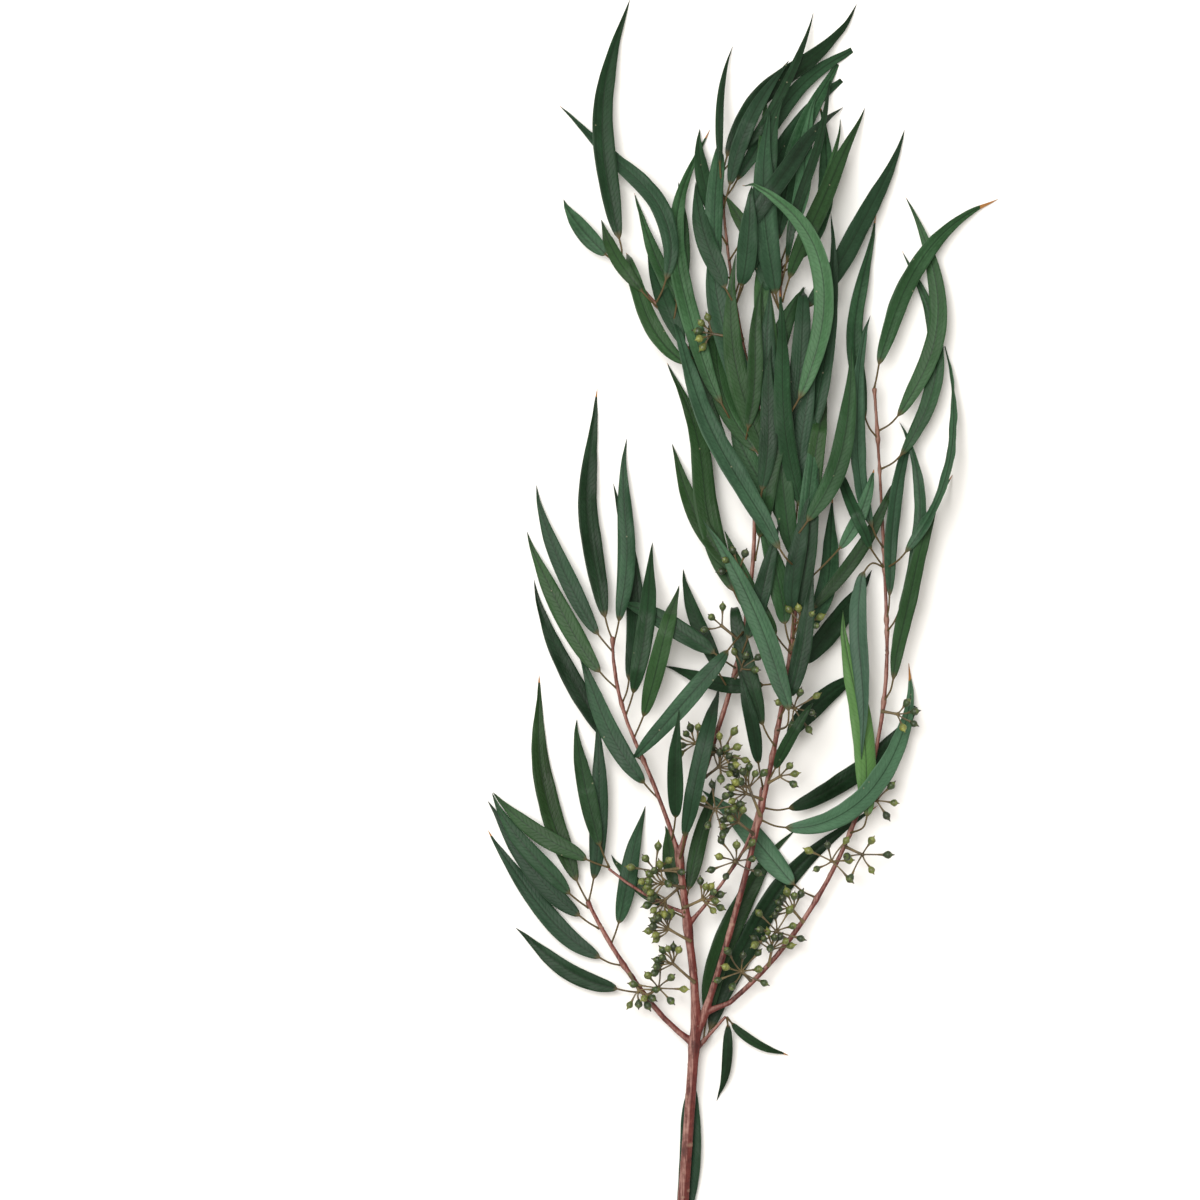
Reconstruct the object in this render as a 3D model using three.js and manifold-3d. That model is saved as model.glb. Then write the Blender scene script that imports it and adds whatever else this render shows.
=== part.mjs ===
// A cut eucalyptus branch lying on a flat surface: one woody piece with its side shoots, clusters
// of flower buds, and long sickle-shaped leaves that are laid over each other from the lowest up.
// Millimetres and degrees. +Y runs from the cut end to the tips, +Z is up from the surface.
// A heading is measured to the right of +Y, and a turn to the right is positive.
import * as THREE from 'three';
import { mergeVertices } from 'three/addons/utils/BufferGeometryUtils.js';
import Module from 'manifold-3d';

const wasm = await Module();
wasm.setup();

// Wood
const woodSides = 6;
const woodSpacing = 13;
const buttHeight = 3.3;

// Leaves
const leafThickness = 0.9;
const stalkWidth = 1.5;
const stalkThickness = 1.2;
const stalkLength = 12;
const stalkSteps = 2;
const halfBladeSteps = 4;
const usualRoll = 12;
const usualArch = 2.5;

// Bud clusters
const budRadius = 2.2;
const budSides = 5;
const raySides = 3;
const peduncleSides = 4;
const rayRadius = 0.6;
const peduncleRadius = 0.9;
const hubRadius = 1.5;
const budReach = 11;
const fanAngle = 150;
const flatBud = { reach: 1.15, rise: 0.1 };
const raisedBud = { reach: 0.9, rise: 0.55 };
const budProfile = [[0, -1], [0.9, -0.35], [0.85, 0.45], [0, 1.5]];
const clusterClimb = 2;
const budRoom = 3.3;
const rodChecks = 10;

// Laying one piece over another
const cellSize = 1;
const clearance = 0.5;
const jointGap = 0.3;
const fieldOrigin = { x: -160, y: -60 };
const fieldCells = { x: 400, y: 760 };

// Shoots. Each starts `at` millimetres along its parent and grows in runs of
// [length, turn, height of its middle line at the run's end].
const shoots = {
  stem: { heading: 4, runs: [[120, 0, 9.5]], radius: [3.3, 2.9] },
  leftFork: { on: 'stem', at: 118, heading: -55, runs: [[30, 17, 10], [60, 12, 11]], radius: [1.7, 1.1] },
  centreLeader: { on: 'stem', at: 118, heading: 4, runs: [[40, -11, 14], [56, 0, 18]], radius: [2.6, 1.9] },
  rightLeader: {
    on: 'stem', at: 118, heading: 19,
    runs: [[206, -11, 24], [70, -18, 26]], radius: [1.9, 1.1],
  },
  rightFork: {
    on: 'rightLeader', at: 17, heading: 88,
    runs: [[13, -38, 11], [55, -16, 10], [60, -14, 11], [95, -22, 13], [120, -2, 13]], radius: [1.5, 0.8],
  },
  darkLeader: {
    on: 'centreLeader', at: 95, heading: -17,
    runs: [[60, -8, 18], [55, 25, 16]], radius: [1.3, 0.9],
  },
  centreTwig: {
    on: 'centreLeader', at: 95, heading: 16,
    runs: [[75, 2, 20], [100, -18, 22], [50, -28, 20], [95, -14, 15]], radius: [1.6, 0.8],
  },
  brownTwig: {
    on: 'centreLeader', at: 60, heading: 42,
    runs: [[38, -8, 16], [42, -30, 14]], radius: [1.1, 0.8],
  },
  redTwig: { on: 'centreLeader', at: 66, heading: -70, runs: [[45, 20, 14]], radius: [1.0, 0.8] },
  upperTwig: {
    on: 'rightLeader', at: 275, heading: -20,
    runs: [[60, 6, 24], [120, 12, 15]], radius: [1.0, 0.8],
  },
  innerTwig: { on: 'rightLeader', at: 275, heading: -4, runs: [[122, 4, 19]], radius: [0.9, 0.8] },
  darkTwig: { on: 'stem', at: 114, heading: 42, runs: [[24, 0, 9]], radius: [1.0, 0.8] },
};

// Bud clusters: where the stalk leaves the wood, its heading and length, and how many buds it bears.
const clusters = [
  { on: 'leftFork', at: 26, heading: 5, stalk: 11, buds: 7 },
  { on: 'rightFork', at: 24, heading: -15, stalk: 9, buds: 8 },
  { on: 'rightFork', at: 52, heading: -25, stalk: 9, buds: 8 },
  { on: 'rightFork', at: 92, heading: 10, stalk: 10, buds: 6 },
  { on: 'rightFork', at: 118, heading: 150, stalk: 12, buds: 5 },
  { on: 'rightLeader', at: 82, heading: -15, stalk: 14, buds: 8 },
  { on: 'redTwig', at: 18, heading: 5, stalk: 14, buds: 7 },
  { on: 'centreTwig', at: 22, heading: 78, stalk: 12, buds: 7 },
  { on: 'centreTwig', at: 48, heading: 50, stalk: 9, buds: 8 },
  { on: 'rightLeader', at: 170, heading: 60, stalk: 8, buds: 7 },
];

// Leaves, the lowest first. `length` counts the stalk, and `turns` are those of the stalk and of the
// first and second half of the blade. The low ones lie under the wood and the others over it.
const lowLeaves = [
  { on: 'stem', at: 112, heading: 180, length: 108, width: 11, turns: [3, 1, 1] },
  { on: 'stem', at: 112, heading: 44, length: 156, width: 12, turns: [-28, 20, 24] },
  { on: 'darkTwig', at: 6, heading: 14, length: 118, width: 12, turns: [-6, 15, 26] },
  { on: 'rightFork', at: 82, heading: -75, length: 78, width: 12, turns: [32, 2, -12] },
  { on: 'rightLeader', at: 124, heading: 112, length: 96, width: 10, turns: [-40, -18, -26] },
  { on: 'rightLeader', at: 148, heading: 35, length: 66, width: 10, turns: [5, 8, 15] },
  { on: 'rightLeader', at: 187, heading: 50, length: 70, width: 11, turns: [-10, -4, -2] },
  { on: 'leftFork', at: 52, heading: -80, length: 98, width: 10, turns: [22, 18, 12] },
  { on: 'leftFork', at: 88, heading: -30, length: 118, width: 11, turns: [5, 14, 16] },
  { on: 'darkLeader', at: 50, heading: -60, length: 108, width: 10, turns: [12, 22, 14] },
  { on: 'darkLeader', at: 80, heading: 20, length: 112, width: 9.5, turns: [-12, -12, -14] },
  { on: 'darkLeader', at: 112, heading: -18, length: 128, width: 10.5, turns: [4, 12, 12] },
];
const highLeaves = [
  { on: 'centreLeader', at: 91, heading: 8, length: 88, width: 9, turns: [0, 8, -2], roll: -15 },
  { on: 'rightFork', at: 226, heading: 8, length: 114, width: 7, turns: [-6, 4, 24] },
  { on: 'rightFork', at: 220, heading: 30, length: 110, width: 7, turns: [-8, -18, -32], roll: -20 },
  { on: 'rightFork', at: 185, heading: 30, length: 120, width: 8.5, turns: [-22, 5, 20] },
  { on: 'rightFork', at: 252, heading: 56, length: 122, width: 8, turns: [-18, -26, -28], roll: -62 },
  { on: 'rightFork', at: 302, heading: 66, length: 122, width: 8.5, turns: [-26, -42, -30], roll: -18 },
  { on: 'rightFork', at: 321, heading: 62, length: 130, width: 9.5, turns: [-24, -36, -34], roll: -14 },
  { on: 'rightFork', at: 317, heading: -40, length: 116, width: 8.5, turns: [24, 24, 6] },
  { on: 'rightFork', at: 342, heading: 8, length: 120, width: 9.5, turns: [3, 22, 34], roll: 16 },
  { on: 'rightFork', at: 262, heading: -36, length: 120, width: 8.5, turns: [18, 18, 18], roll: 25 },
  { on: 'rightFork', at: 117, heading: 70, length: 116, width: 11.5, turns: [-66, -17, 10] },
  { on: 'rightFork', at: 252, heading: -30, length: 106, width: 9.5, turns: [-140, -14, 6], roll: 20 },
  { on: 'innerTwig', at: 116, heading: 60, length: 94, width: 8.5, turns: [-20, -40, -10], roll: -22 },
  { on: 'upperTwig', at: 156, heading: 36, length: 102, width: 8.5, turns: [-8, 10, 22] },
  { on: 'innerTwig', at: 118, heading: -75, length: 116, width: 9.5, turns: [78, 30, 15], stalk: 22 },
  { on: 'innerTwig', at: 120, heading: -15, length: 108, width: 9.5, turns: [20, 15, 10] },
  { on: 'upperTwig', at: 166, heading: 8, length: 116, width: 10, turns: [8, 42, -30], roll: 16 },
  { on: 'innerTwig', at: 88, heading: 56, length: 120, width: 10.5, turns: [-18, -8, -12], stalk: 16 },
  { on: 'innerTwig', at: 15, heading: 32, length: 134, width: 9, turns: [-9, -18, -8], roll: -24 },
  { on: 'upperTwig', at: 116, heading: -60, length: 72, width: 9, turns: [55, 5, 8] },
  { on: 'upperTwig', at: 20, heading: -56, length: 106, width: 11, turns: [15, 35, 8] },
  { on: 'centreTwig', at: 248, heading: -60, length: 77, width: 9, turns: [8, 30, 8] },
  { on: 'centreTwig', at: 246, heading: -15, length: 102, width: 8.5, turns: [-3, -12, 20] },
  { on: 'centreTwig', at: 220, heading: -32, length: 158, width: 10, turns: [5, 20, 40] },
  { on: 'innerTwig', at: 42, heading: 32, length: 138, width: 10.5, turns: [-3, -38, -60], roll: -16 },
  { on: 'rightLeader', at: 262, heading: 40, length: 122, width: 9.5, turns: [-55, 12, 3] },
  { on: 'centreTwig', at: 125, heading: -32, length: 132, width: 12, turns: [8, 18, -22] },
  { on: 'centreTwig', at: 293, heading: 26, length: 122, width: 9.5, turns: [-10, -62, 0] },
  { on: 'centreTwig', at: 319, heading: 0, length: 136, width: 11, turns: [-16, 18, 20] },
  { on: 'rightLeader', at: 204, heading: 56, length: 80, width: 10, turns: [-26, -27, 4] },
  { on: 'rightLeader', at: 203, heading: -14, length: 66, width: 11, turns: [4, -2, -10] },
  { on: 'centreTwig', at: 97, heading: -50, length: 64, width: 10, turns: [-3, -5, -20] },
  { on: 'rightLeader', at: 231, heading: 40, length: 92, width: 9.5, turns: [-40, 6, -8] },
  { on: 'rightLeader', at: 243, heading: -46, length: 140, width: 11, turns: [15, 3, 18], roll: 16 },
  { on: 'centreTwig', at: 118, heading: -138, length: 84, width: 9.5, turns: [-4, 2, 6] },
  { on: 'rightLeader', at: 161, heading: 50, length: 116, width: 11, turns: [-62, -14, -6], roll: -14 },
  { on: 'rightLeader', at: 118, heading: 122, length: 128, width: 11.5, turns: [-30, -60, -36], roll: 18 },
];

const leafColour = new THREE.Color('#2f4d3c');
const woodColour = new THREE.Color('#6d4034');
const budColour = new THREE.Color('#5c6638');

const radians = THREE.MathUtils.degToRad;
const lerp = THREE.MathUtils.lerp;

// Follows a shoot or a leaf in plan, bending evenly through each run, and gives the point, the
// heading and the length so far at the start and after every piece.
function walk(x, y, heading, runs, piecesOf) {
  const trail = [{ x, y, heading, along: 0 }];
  let along = 0;
  for (const [length, turn] of runs) {
    const pieces = piecesOf(length);
    for (let k = 0; k < pieces; k += 1) {
      const middle = radians(heading + (turn * (k + 0.5)) / pieces);
      x += (Math.sin(middle) * length) / pieces;
      y += (Math.cos(middle) * length) / pieces;
      along += length / pieces;
      trail.push({ x, y, heading: heading + (turn * (k + 1)) / pieces, along });
    }
    heading += turn;
  }
  return trail;
}

// The place on a shoot `at` millimetres from its start, with the wood's height and radius there.
function placeOn(shoot, at) {
  const { trail } = shoot;
  const next = Math.max(1, trail.findIndex((spot) => spot.along >= at));
  const before = trail[next - 1];
  const after = trail[next];
  const part = (at - before.along) / (after.along - before.along);
  const mix = (key) => lerp(before[key], after[key], part);
  return { x: mix('x'), y: mix('y'), z: mix('z'), radius: mix('radius'), heading: mix('heading') };
}

// Grows a shoot's middle line, with heights that run evenly from one run's end to the next.
function growShoot({ on, at, heading, runs, radius }) {
  const start = on ? placeOn(shoots[on], at) : { x: 0, y: 0, z: buttHeight };
  const trail = walk(start.x, start.y, heading, runs, (length) => Math.ceil(length / woodSpacing));
  const full = trail[trail.length - 1].along;
  const ends = [[0, start.z]];
  for (const [length, , height] of runs) {
    ends.push([ends[ends.length - 1][0] + length, height]);
  }
  for (const spot of trail) {
    const next = Math.max(1, ends.findIndex(([along]) => along >= spot.along - 1e-6));
    const [fromAlong, fromHeight] = ends[next - 1];
    const [toAlong, toHeight] = ends[next];
    spot.z = lerp(fromHeight, toHeight, (spot.along - fromAlong) / (toAlong - fromAlong));
    spot.radius = lerp(radius[0], radius[1], spot.along / full);
  }
  return trail;
}

// The top of everything laid so far, over a grid of small cells.
const heights = new Float32Array(fieldCells.x * fieldCells.y);

function cellAt(x, y) {
  const column = Math.round((x - fieldOrigin.x) / cellSize);
  const row = Math.round((y - fieldOrigin.y) / cellSize);
  return row * fieldCells.x + column;
}

// The surface itself may be touched, and anything on it is cleared by a small gap.
function floorAt(x, y) {
  const top = heights[cellAt(x, y)];
  return top > 0 ? top + clearance : 0;
}

function cover(x, y, top) {
  const cell = cellAt(x, y);
  heights[cell] = Math.max(heights[cell], top);
}

// Calls visit(x, y, across, segment, part) all over a strip that follows a trail. `across` runs from
// -1 at its left edge to 1 at its right edge.
function sweepStrip(trail, visit) {
  for (let segment = 0; segment < trail.length - 1; segment += 1) {
    const from = trail[segment];
    const to = trail[segment + 1];
    const length = Math.hypot(to.x - from.x, to.y - from.y);
    const steps = Math.ceil(length / (cellSize / 2));
    for (let k = 0; k <= steps; k += 1) {
      const part = k / steps;
      const heading = radians(lerp(from.heading, to.heading, part));
      const half = lerp(from.half * from.flat, to.half * to.flat, part);
      const lanes = Math.max(1, Math.ceil(half / (cellSize / 2)));
      for (let lane = -lanes; lane <= lanes; lane += 1) {
        const across = lane / lanes;
        const x = lerp(from.x, to.x, part) + across * half * Math.cos(heading);
        const y = lerp(from.y, to.y, part) - across * half * Math.sin(heading);
        visit(x, y, across, segment, part);
      }
    }
  }
}

// A rod of a unit section in steps, each corner of it moved by place(step, x, y).
function warpRod(corners, steps, place) {
  const section = new THREE.Shape(corners.map(([x, y]) => new THREE.Vector2(x, y)));
  const rod = new THREE.ExtrudeGeometry(section, { steps, depth: steps, bevelEnabled: false });
  const { position } = rod.attributes;
  for (let k = 0; k < position.count; k += 1) {
    const moved = place(Math.round(position.getZ(k)), position.getX(k), position.getY(k));
    position.setXYZ(k, moved.x, moved.y, moved.z);
  }
  return closed(rod);
}

// The same shape with shared corners, and without the triangles that came to nothing.
function closed(geometry) {
  geometry.deleteAttribute('normal');
  geometry.deleteAttribute('uv');
  const merged = mergeVertices(geometry, 1e-4);
  const kept = [];
  const { array } = merged.index;
  for (let k = 0; k < array.length; k += 3) {
    const [a, b, c] = array.slice(k, k + 3);
    if (a !== b && b !== c && c !== a) {
      kept.push(a, b, c);
    }
  }
  merged.setIndex(kept);
  return merged;
}

function toSolid(geometry) {
  const vertProperties = new Float32Array(geometry.attributes.position.array);
  const triVerts = new Uint32Array(geometry.index.array);
  return new wasm.Manifold(new wasm.Mesh({ numProp: 3, vertProperties, triVerts }));
}

function join(geometries) {
  const whole = geometries.map(toSolid).reduce((sum, solid) => sum.add(solid));
  const mesh = whole.getMesh();
  const geometry = new THREE.BufferGeometry();
  geometry.setAttribute('position', new THREE.BufferAttribute(mesh.vertProperties, 3));
  geometry.setIndex(new THREE.BufferAttribute(mesh.triVerts, 1));
  return geometry;
}

function finish(name, geometry, color, roughness) {
  geometry.computeVertexNormals();
  const mesh = new THREE.Mesh(geometry, new THREE.MeshStandardMaterial({ color, roughness, metalness: 0 }));
  mesh.name = name;
  return mesh;
}

function ringCorners(sides) {
  return Array.from({ length: sides }, (_, k) => {
    const angle = (2 * Math.PI * (k + 0.5)) / sides;
    return [Math.cos(angle), Math.sin(angle)];
  });
}

// One shoot as a tapered rod with upright rings.
function shootRod(trail) {
  return warpRod(ringCorners(woodSides), trail.length - 1, (step, x, y) => {
    const spot = trail[step];
    const heading = radians(spot.heading);
    const across = -x * spot.radius;
    return {
      x: spot.x + across * Math.cos(heading),
      y: spot.y - across * Math.sin(heading),
      z: spot.z + y * spot.radius,
    };
  });
}

function makeWood() {
  const rods = Object.values(shoots).map(({ trail }) => shootRod(trail));
  for (const { trail } of Object.values(shoots)) {
    const strip = trail.map((spot) => ({ ...spot, half: spot.radius + cellSize / 2, flat: 1 }));
    sweepStrip(strip, (x, y, across, segment, part) => {
      const z = lerp(strip[segment].z, strip[segment + 1].z, part);
      const radius = lerp(strip[segment].radius, strip[segment + 1].radius, part);
      cover(x, y, z + radius);
    });
  }
  return finish('stem_and_shoots', join(rods), woodColour, 0.75);
}

// The middle line of a leaf, with its half width, thickness and roll at each ring.
function leafTrail(leaf) {
  const { on, at, heading, length, width, turns, stalk = stalkLength, roll = usualRoll } = leaf;
  const foot = placeOn(shoots[on], at);
  const reach = foot.radius + jointGap;
  const halfBlade = (length - stalk) / 2;
  const runs = [[stalk, turns[0]], [halfBlade, turns[1]], [halfBlade, turns[2]]];
  const x = foot.x + reach * Math.sin(radians(heading));
  const y = foot.y + reach * Math.cos(radians(heading));
  const pieces = [stalkSteps, halfBladeSteps, halfBladeSteps];
  const trail = walk(x, y, heading, runs, () => pieces.shift());
  trail.forEach((spot) => {
    const blade = Math.max(0, (spot.along - stalk) / (length - stalk));
    const swell = Math.sin(Math.PI * Math.min(1, blade) ** 0.75) ** 0.8;
    spot.blade = blade;
    spot.half = Math.max(stalkWidth, width * (swell || 0)) / 2;
    spot.thick = blade > 0 ? leafThickness : stalkThickness;
    spot.roll = radians(roll) * Math.min(1, blade * 4);
    spot.flat = Math.cos(spot.roll);
  });
  const tip = trail[trail.length - 1];
  tip.half = 0;
  tip.thick = 0;
  return { trail, foot };
}

// How far the leaf's upper or lower face is from its middle line, at a place across it.
function faceOffset(spot, across) {
  return (spot.thick / 2) * (1 - Math.abs(across));
}

function tilt(spot, across) {
  return -across * spot.half * Math.sin(spot.roll);
}

// The straightest line over a row of needed heights, as a stiff leaf bridges what lies under it.
function bridge(points) {
  const hull = [];
  for (const point of points) {
    while (hull.length > 1) {
      const [a, b] = hull.slice(-2);
      const turn = (b.along - a.along) * (point.need - a.need) - (b.need - a.need) * (point.along - a.along);
      if (turn < 0) {
        break;
      }
      hull.pop();
    }
    hull.push(point);
  }
  return hull;
}

function heightOn(hull, along) {
  const next = Math.max(1, hull.findIndex((point) => point.along >= along));
  const from = hull[next - 1];
  const to = hull[next] ?? from;
  const span = to.along - from.along || 1;
  return lerp(from.need, to.need, Math.min(1, (along - from.along) / span));
}

// Lays a leaf over everything so far: finds the height of its middle line at each ring.
function layLeaf(trail, footHeight, arch) {
  const needs = new Map();
  const sweep = (visit) => sweepStrip(trail, (x, y, across, segment, part) => {
    const from = trail[segment];
    const to = trail[segment + 1];
    const under = lerp(faceOffset(from, across), faceOffset(to, across), part);
    const lean = lerp(tilt(from, across), tilt(to, across), part);
    visit(x, y, under, lean, segment, part);
  });
  sweep((x, y, under, lean, segment, part) => {
    const along = lerp(trail[segment].along, trail[segment + 1].along, part);
    const need = floorAt(x, y) + under - lean;
    needs.set(along, Math.max(needs.get(along) ?? -Infinity, need));
  });
  const points = [...needs].map(([along, need]) => ({ along, need }));
  points.sort((a, b) => a.along - b.along);
  points[0].need = Math.max(points[0].need, footHeight);
  const hull = bridge(points);
  for (const spot of trail) {
    spot.z = heightOn(hull, spot.along) + arch * Math.sin(Math.PI * Math.min(1, spot.blade));
  }
  let lift = 0;
  for (const { along, need } of points) {
    const next = Math.max(1, trail.findIndex((spot) => spot.along >= along - 1e-6));
    const from = trail[next - 1];
    const to = trail[next];
    const z = lerp(from.z, to.z, (along - from.along) / (to.along - from.along));
    lift = Math.max(lift, need - z);
  }
  for (const spot of trail) {
    spot.z += lift;
  }
  sweep((x, y, over, lean, segment, part) => {
    const z = lerp(trail[segment].z, trail[segment + 1].z, part);
    cover(x, y, z + lean + over);
  });
}

// A leaf is a rod of a four-cornered section: right edge, lower middle, left edge, upper middle.
const leafSection = [[-1, 0], [0, -1], [1, 0], [0, 1]];

function makeLeaf(leaf, isLow, name) {
  const { trail, foot } = leafTrail(leaf);
  const drop = foot.radius + jointGap + stalkThickness / 2;
  layLeaf(trail, isLow ? foot.z - drop : foot.z, leaf.arch ?? (isLow ? 0 : usualArch));
  const geometry = warpRod(leafSection, trail.length - 1, (step, x, y) => {
    const spot = trail[step];
    const heading = radians(spot.heading);
    const across = -x * spot.half;
    const raised = (y * spot.thick) / 2;
    const plan = across * Math.cos(spot.roll) + raised * Math.sin(spot.roll);
    return {
      x: spot.x + plan * Math.cos(heading),
      y: spot.y - plan * Math.sin(heading),
      z: spot.z - across * Math.sin(spot.roll) + raised * Math.cos(spot.roll),
    };
  });
  return finish(name, geometry, leafColour, 0.6);
}

function rodBetween(from, to, radius, sides) {
  const along = new THREE.Vector3().subVectors(to, from);
  const outward = along.clone().normalize();
  const turn = new THREE.Quaternion().setFromUnitVectors(new THREE.Vector3(0, 0, 1), outward);
  return warpRod(ringCorners(sides), 1, (step, x, y) => (
    new THREE.Vector3(x * radius, y * radius, step * along.length()).applyQuaternion(turn).add(from)
  ));
}

// A bud with a blunt foot and a pointed cap, its middle at the end of its ray.
function makeBud(middle, outward) {
  const points = budProfile.map(([x, y]) => new THREE.Vector2(x * budRadius, y * budRadius));
  const bud = new THREE.LatheGeometry(points, budSides);
  bud.applyQuaternion(new THREE.Quaternion().setFromUnitVectors(new THREE.Vector3(0, 1, 0), outward));
  bud.translate(middle.x, middle.y, middle.z);
  return closed(bud);
}

// Calls visit(x, y) all over a disc in plan.
function sweepDisc(middle, radius, visit) {
  for (let dx = -radius; dx <= radius; dx += cellSize / 2) {
    for (let dy = -radius; dy <= radius; dy += cellSize / 2) {
      if (Math.hypot(dx, dy) <= radius) {
        visit(middle.x + dx, middle.y + dy);
      }
    }
  }
}

function coverDisc(middle, radius, top) {
  sweepDisc(middle, radius, (x, y) => cover(x, y, top));
}

function highestUnder(middle, radius) {
  let top = 0;
  sweepDisc(middle, radius, (x, y) => {
    top = Math.max(top, floorAt(x, y));
  });
  return top;
}

function inPlan(heading, length) {
  return new THREE.Vector3(Math.sin(radians(heading)) * length, Math.cos(radians(heading)) * length, 0);
}

// Calls visit(point, part) at even steps from one point to another.
function alongRod(from, to, visit) {
  for (let k = 0; k <= rodChecks; k += 1) {
    visit(from.clone().lerp(to, k / rodChecks), k / rodChecks);
  }
}

// The middle of a bud: out from the hub, and raised until it and its ray clear what lies under them.
function placeBud(hub, heading, k) {
  const bud = k % 2 ? flatBud : raisedBud;
  const reach = budReach * bud.reach;
  const middle = hub.clone().add(inPlan(heading, reach * Math.cos(bud.rise)));
  middle.z = Math.max(middle.z + reach * Math.sin(bud.rise), highestUnder(middle, budRoom) + budRoom);
  alongRod(hub, middle, (point, part) => {
    const need = highestUnder(point, rayRadius) + rayRadius;
    middle.z += part > 0 ? Math.max(0, need - point.z) / part : 0;
  });
  return middle;
}

// A fan of buds on thin rays from one hub, on a stalk that starts on the upper side of the wood.
function makeCluster({ on, at, heading, stalk, buds }, name) {
  const foot = placeOn(shoots[on], at);
  const start = new THREE.Vector3(foot.x, foot.y, foot.z + foot.radius + jointGap + peduncleRadius);
  const hub = start.clone().add(inPlan(heading, stalk));
  hub.z = Math.max(hub.z + clusterClimb, highestUnder(hub, hubRadius) + hubRadius);
  const ball = new THREE.OctahedronGeometry(hubRadius, 0);
  ball.translate(hub.x, hub.y, hub.z);
  const solids = [rodBetween(start, hub, peduncleRadius, peduncleSides), closed(ball)];
  const middles = [];
  for (let k = 0; k < buds; k += 1) {
    const middle = placeBud(hub, heading + fanAngle * ((2 * k + 1) / buds - 1), k);
    const outward = middle.clone().sub(hub).normalize();
    solids.push(makeBud(middle, outward), rodBetween(hub, middle, rayRadius, raySides));
    middles.push(middle);
  }
  for (const middle of middles) {
    coverDisc(middle, budRoom, middle.z + budRoom);
    alongRod(hub, middle, (point) => coverDisc(point, 1, point.z + hubRadius));
  }
  alongRod(start, hub, (point) => coverDisc(point, 1, point.z + peduncleRadius));
  return finish(name, join(solids), budColour, 0.65);
}

function numbered(name, index) {
  return `${name}_${String(index + 1).padStart(2, '0')}`;
}

for (const shoot of Object.values(shoots)) {
  shoot.trail = growShoot(shoot);
}

const branch = new THREE.Group();
lowLeaves.forEach((leaf, k) => branch.add(makeLeaf(leaf, true, numbered('low_leaf', k))));
branch.add(makeWood());
clusters.forEach((cluster, k) => branch.add(makeCluster(cluster, numbered('bud_cluster', k))));
highLeaves.forEach((leaf, k) => branch.add(makeLeaf(leaf, false, numbered('leaf', k))));

// The origin is under the middle of the whole branch, on the surface that it lies on.
const box = new THREE.Box3().setFromObject(branch);
const middle = box.getCenter(new THREE.Vector3());
branch.position.set(-middle.x, -middle.y, -box.min.z);

export default branch;
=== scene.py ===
# A cut eucalyptus branch lying on a white surface.
# The lines of its leaves, buds and wood are read from the frame, and each is dressed with a finished piece.
import math
import random

import bmesh
import bpy
import numpy as np
from mathutils import Matrix, Vector, noise
from mathutils.bvhtree import BVHTree


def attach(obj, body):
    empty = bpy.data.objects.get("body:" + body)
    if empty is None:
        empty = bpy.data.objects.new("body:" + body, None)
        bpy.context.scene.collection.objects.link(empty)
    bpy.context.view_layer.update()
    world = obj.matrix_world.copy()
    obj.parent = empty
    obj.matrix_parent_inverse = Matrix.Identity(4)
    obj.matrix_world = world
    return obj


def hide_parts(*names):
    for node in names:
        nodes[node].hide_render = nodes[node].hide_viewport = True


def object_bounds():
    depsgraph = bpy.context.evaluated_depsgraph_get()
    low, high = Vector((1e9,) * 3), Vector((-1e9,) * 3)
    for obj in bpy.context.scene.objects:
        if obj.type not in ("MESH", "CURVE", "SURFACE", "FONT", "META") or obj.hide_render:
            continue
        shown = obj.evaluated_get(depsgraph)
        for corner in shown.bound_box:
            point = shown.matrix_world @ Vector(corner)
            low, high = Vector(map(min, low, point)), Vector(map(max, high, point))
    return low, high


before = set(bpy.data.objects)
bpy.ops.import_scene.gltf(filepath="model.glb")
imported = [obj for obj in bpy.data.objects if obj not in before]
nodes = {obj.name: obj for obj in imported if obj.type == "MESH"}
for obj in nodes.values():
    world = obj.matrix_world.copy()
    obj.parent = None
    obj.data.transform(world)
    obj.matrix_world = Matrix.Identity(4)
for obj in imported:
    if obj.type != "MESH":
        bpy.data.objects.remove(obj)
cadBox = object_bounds()
mm = 0.001
down = Vector((0, 0, -1))
seeds = {"look": 3, "extraLook": 900, "extraLeaf": 60, "fan": 300, "spray": 400, "scars": 17}

surface = {
    "size": 9.0,
    "colour": (0.930, 0.920, 0.905, 1),
    "patches": (0.916, 0.906, 0.891, 1),
    "roughness": 0.75,
    "specular": 0.2,
}

studio = {
    "sky": (1.0, 0.945, 0.88, 1),
    "skyStrength": 0.60,
    "keyPlace": (-0.46, 0.34, 1.70),  # upper left of the branch
    "keySize": 1.0,
    "keyPower": 36.0,
    "keyColour": (1.0, 0.985, 0.96),
}

view = {
    "lens": 130,
    "covers": 600 * mm,
    "fromCutEnd": (-39 * mm, 340 * mm),  # middle of the view, from the cut end of the stem
    "pileMiddle": 12 * mm,
}


def dropSelection():
    for obj in list(bpy.context.selected_objects):
        obj.select_set(False)


def pick(*objs):
    dropSelection()
    for obj in objs:
        obj.select_set(True)
    bpy.context.view_layer.objects.active = objs[0]


def pickVerts(test):  # in edit mode, selects the corners whose place passes the test
    mesh = bpy.context.edit_object.data
    bpy.ops.mesh.select_mode(type="VERT")
    bpy.ops.mesh.select_all(action="DESELECT")
    shape = bmesh.from_edit_mesh(mesh)
    for vert in shape.verts:
        if test(vert.co):
            vert.select_set(True)
    shape.select_flush(True)
    bmesh.update_edit_mesh(mesh)


def applyModifier(obj, kind, **settings):
    pick(obj)
    modifier = obj.modifiers.new(kind.title(), kind)
    for key, value in settings.items():
        setattr(modifier, key, value)
    bpy.ops.object.modifier_apply(modifier=modifier.name)


def copyOf(source, name):  # a copy with a mesh of its own
    piece = bpy.data.objects.new(name, source.data.copy())
    piece.data.name = name
    bpy.context.scene.collection.objects.link(piece)
    return piece


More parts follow.
